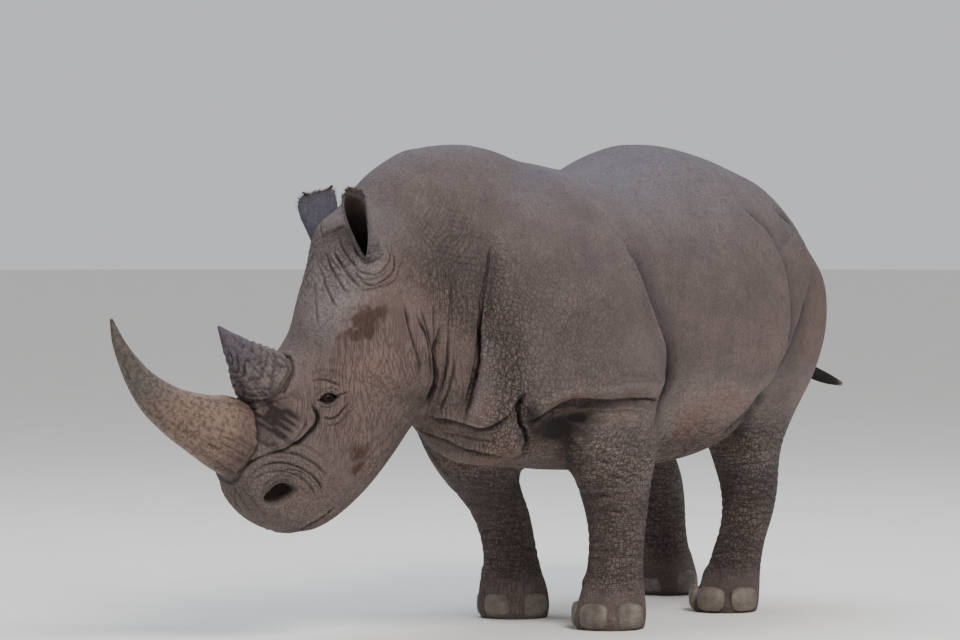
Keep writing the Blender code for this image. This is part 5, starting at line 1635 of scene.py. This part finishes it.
def build():
    skin = base_skin()
    bm = bmesh.new()
    bm.from_mesh(skin.data)
    everything = bm.verts[:] + bm.edges[:] + bm.faces[:]
    cut = bmesh.ops.bisect_plane(bm, geom=everything, plane_co=(0, 0, 0.0006), plane_no=(0, 0, 1), clear_inner=True)
    rim = [e for e in cut["geom_cut"] if isinstance(e, bmesh.types.BMEdge)]
    sole = bmesh.ops.holes_fill(bm, edges=rim)["faces"]
    bmesh.ops.triangulate(bm, faces=sole)
    head = around_line(head_point(0.0, 0, -0.12), head_point(0.9, 0, -0.16), 0.36)
    neck = around_line((-0.74, -0.02, 1.35), (-0.68, -0.02, 0.75), 0.20)
    routes = [route for route, *_ in LINES]
    refine(bm, [head, neck, along_routes(routes, 0.045)])
    refine(bm, [along_routes(routes[:15], 0.018)])
    eyes = {}
    for name in ("eye_left", "eye_right"):
        low, high = (np.array(corner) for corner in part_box(name))
        eyes[name] = ((low + high) / 2 - SHIFT, (high[0] - low[0]) / 2)
    nostrils = [head_point(NOSTRIL[0], NOSTRIL[1] * -side, NOSTRIL[2]) for side in (-1, 1)]
    spots = [(c, 0.080) for c, _ in eyes.values()] + [(c, 0.095) for c in nostrils]
    refine(bm, [around_line(c, c + 1e-6, reach) for c, reach in spots])
    refine(bm, [around_line(c, c + 1e-6, 0.045) for c, _ in eyes.values()])
    bm.to_mesh(skin.data)
    bm.free()
    hide = shape_skin(skin)
    tree = hide.tree()
    set_nostril(hide, tree, -1)
    set_nostril(hide, tree, 1)
    long_axis = np.array(head_point(-0.66, 0, -0.75)) - np.array(head_point(0, 0, 0))
    outs = {}
    for name, (centre, radius) in eyes.items():
        outs[name] = set_eye(hide, tree, centre, radius, long_axis)
    toes(hide)
    markings(hide)
    sink_ear_roots(hide, hide.tree())
    hide.points = keep_inside(hide.points)
    hide.settle()
    for name, values in hide.shade.items():
        skin.data.attributes.new(name, "FLOAT", "POINT").data.foreach_set("value", values.astype(np.float32))
    tree = hide.tree()
    ears, fringes = [], []
    for side, seed in ((-1, 31), (1, 32)):
        ear, edge, outward, rim = ear_mesh(side, tree)
        ears.append(ear)
        fringes.append(fringe(f"EarFringe{'Left' if side < 0 else 'Right'}", edge, outward, rim, seed))
    skin = join([skin, *ears], "Skin")
    skin.data.shade_smooth()
    flesh = [n for n in frame["nodes"] if n.startswith(("head", "neck", "trunk", "leg", "ear"))] + ["tail"]
    settle_piece(skin, hide_finish(), "skin", *flesh)

    bristle = hair_finish("EarHair", (0.10, 0.050, 0.028, 1), (0.045, 0.026, 0.018, 1))
    for piece in fringes:
        settle_piece(piece, bristle, "hair")
    black = hair_finish("TailHair", (0.022, 0.018, 0.015, 1), (0.008, 0.007, 0.006, 1))
    settle_piece(tuft(), black, "hair", "tail_tuft")

    front = horn("HornFront", FRONT_HORN, 190, 128, 0.26, 0.0014, 60, 0.0032)
    rear = horn("HornRear", REAR_HORN, 150, 112, 0.86, 0.0085, 12, 0.0012)
    browns = ((0.120, 0.104, 0.092, 1), (0.205, 0.134, 0.100, 1), (0.140, 0.088, 0.074, 1), (0.062, 0.040, 0.032, 1))
    greys = ((0.108, 0.094, 0.120, 1), (0.160, 0.122, 0.118, 1), (0.105, 0.066, 0.058, 1), (0.062, 0.047, 0.048, 1))
    settle_piece(front, horn_finish("HornFrontKeratin", *browns, 0.15), "horn", "horn_front")
    settle_piece(rear, horn_finish("HornRearKeratin", *greys, 0.22), "horn", "horn_rear")
    settle_piece(nails(), nail_finish(), "nail", *[n for n in frame["nodes"] if n.startswith("nail")])
    eye_material = eye_finish()
    for name, (centre, radius) in eyes.items():
        side = "Left" if name.endswith("left") else "Right"
        settle_piece(eyeball(f"Eye{side}", centre, radius, outs[name]), eye_material, "eye", name)


def stage():
    bpy.ops.mesh.primitive_circle_add(vertices=96, radius=60, fill_type="NGON")
    floor = bpy.context.object
    floor.name = "Floor"
    floor.data.materials.append(floor_finish())
    world = bpy.data.worlds.new("Studio")
    bpy.context.scene.world = world
    world.use_nodes = True
    world.node_tree.nodes["Background"].inputs["Color"].default_value = (0.86, 0.87, 0.90, 1)
    world.node_tree.nodes["Background"].inputs["Strength"].default_value = 0.75
    for name, place, target, size, power, colour in (
        ("Key", (-5.5, -7.5, 9.0), (0, 0, 0.9), 5.0, 1500, (1.0, 0.97, 0.93)),
        ("Top", (3.0, 2.0, 9.0), (0.3, 0, 1.0), 6.0, 600, (0.78, 0.88, 1.0)),
    ):
        lamp = bpy.data.lights.new(name, "AREA")
        lamp.shape = "DISK"
        lamp.size = size
        lamp.energy = power
        lamp.color = colour
        obj = bpy.data.objects.new(name, lamp)
        obj.location = place
        obj.rotation_euler = (Vector(target) - Vector(place)).to_track_quat("-Z", "Y").to_euler()
        bpy.context.scene.collection.objects.link(obj)


def set_camera():
    """Far off and long, level with the animal's back."""
    azimuth, distance, height = math.radians(60), 20.0, 1.75
    back = Vector((-math.sin(azimuth), -math.cos(azimuth), 0))
    right = Vector((math.cos(azimuth), -math.sin(azimuth), 0))
    dip = math.atan2(170, 5440)
    camera = bpy.data.cameras.new("Camera")
    camera.sensor_width = 36
    camera.lens = 204
    camera.clip_end = 200
    obj = bpy.data.objects.new("Camera", camera)
    obj.location = back * distance - right * 0.239 + Vector((SHIFT[0], SHIFT[1], height))
    ahead = -back * math.cos(dip) - Vector((0, 0, math.sin(dip)))
    obj.rotation_euler = ahead.to_track_quat("-Z", "Y").to_euler()
    bpy.context.scene.collection.objects.link(obj)
    bpy.context.scene.camera = obj


build()
stage()
set_camera()
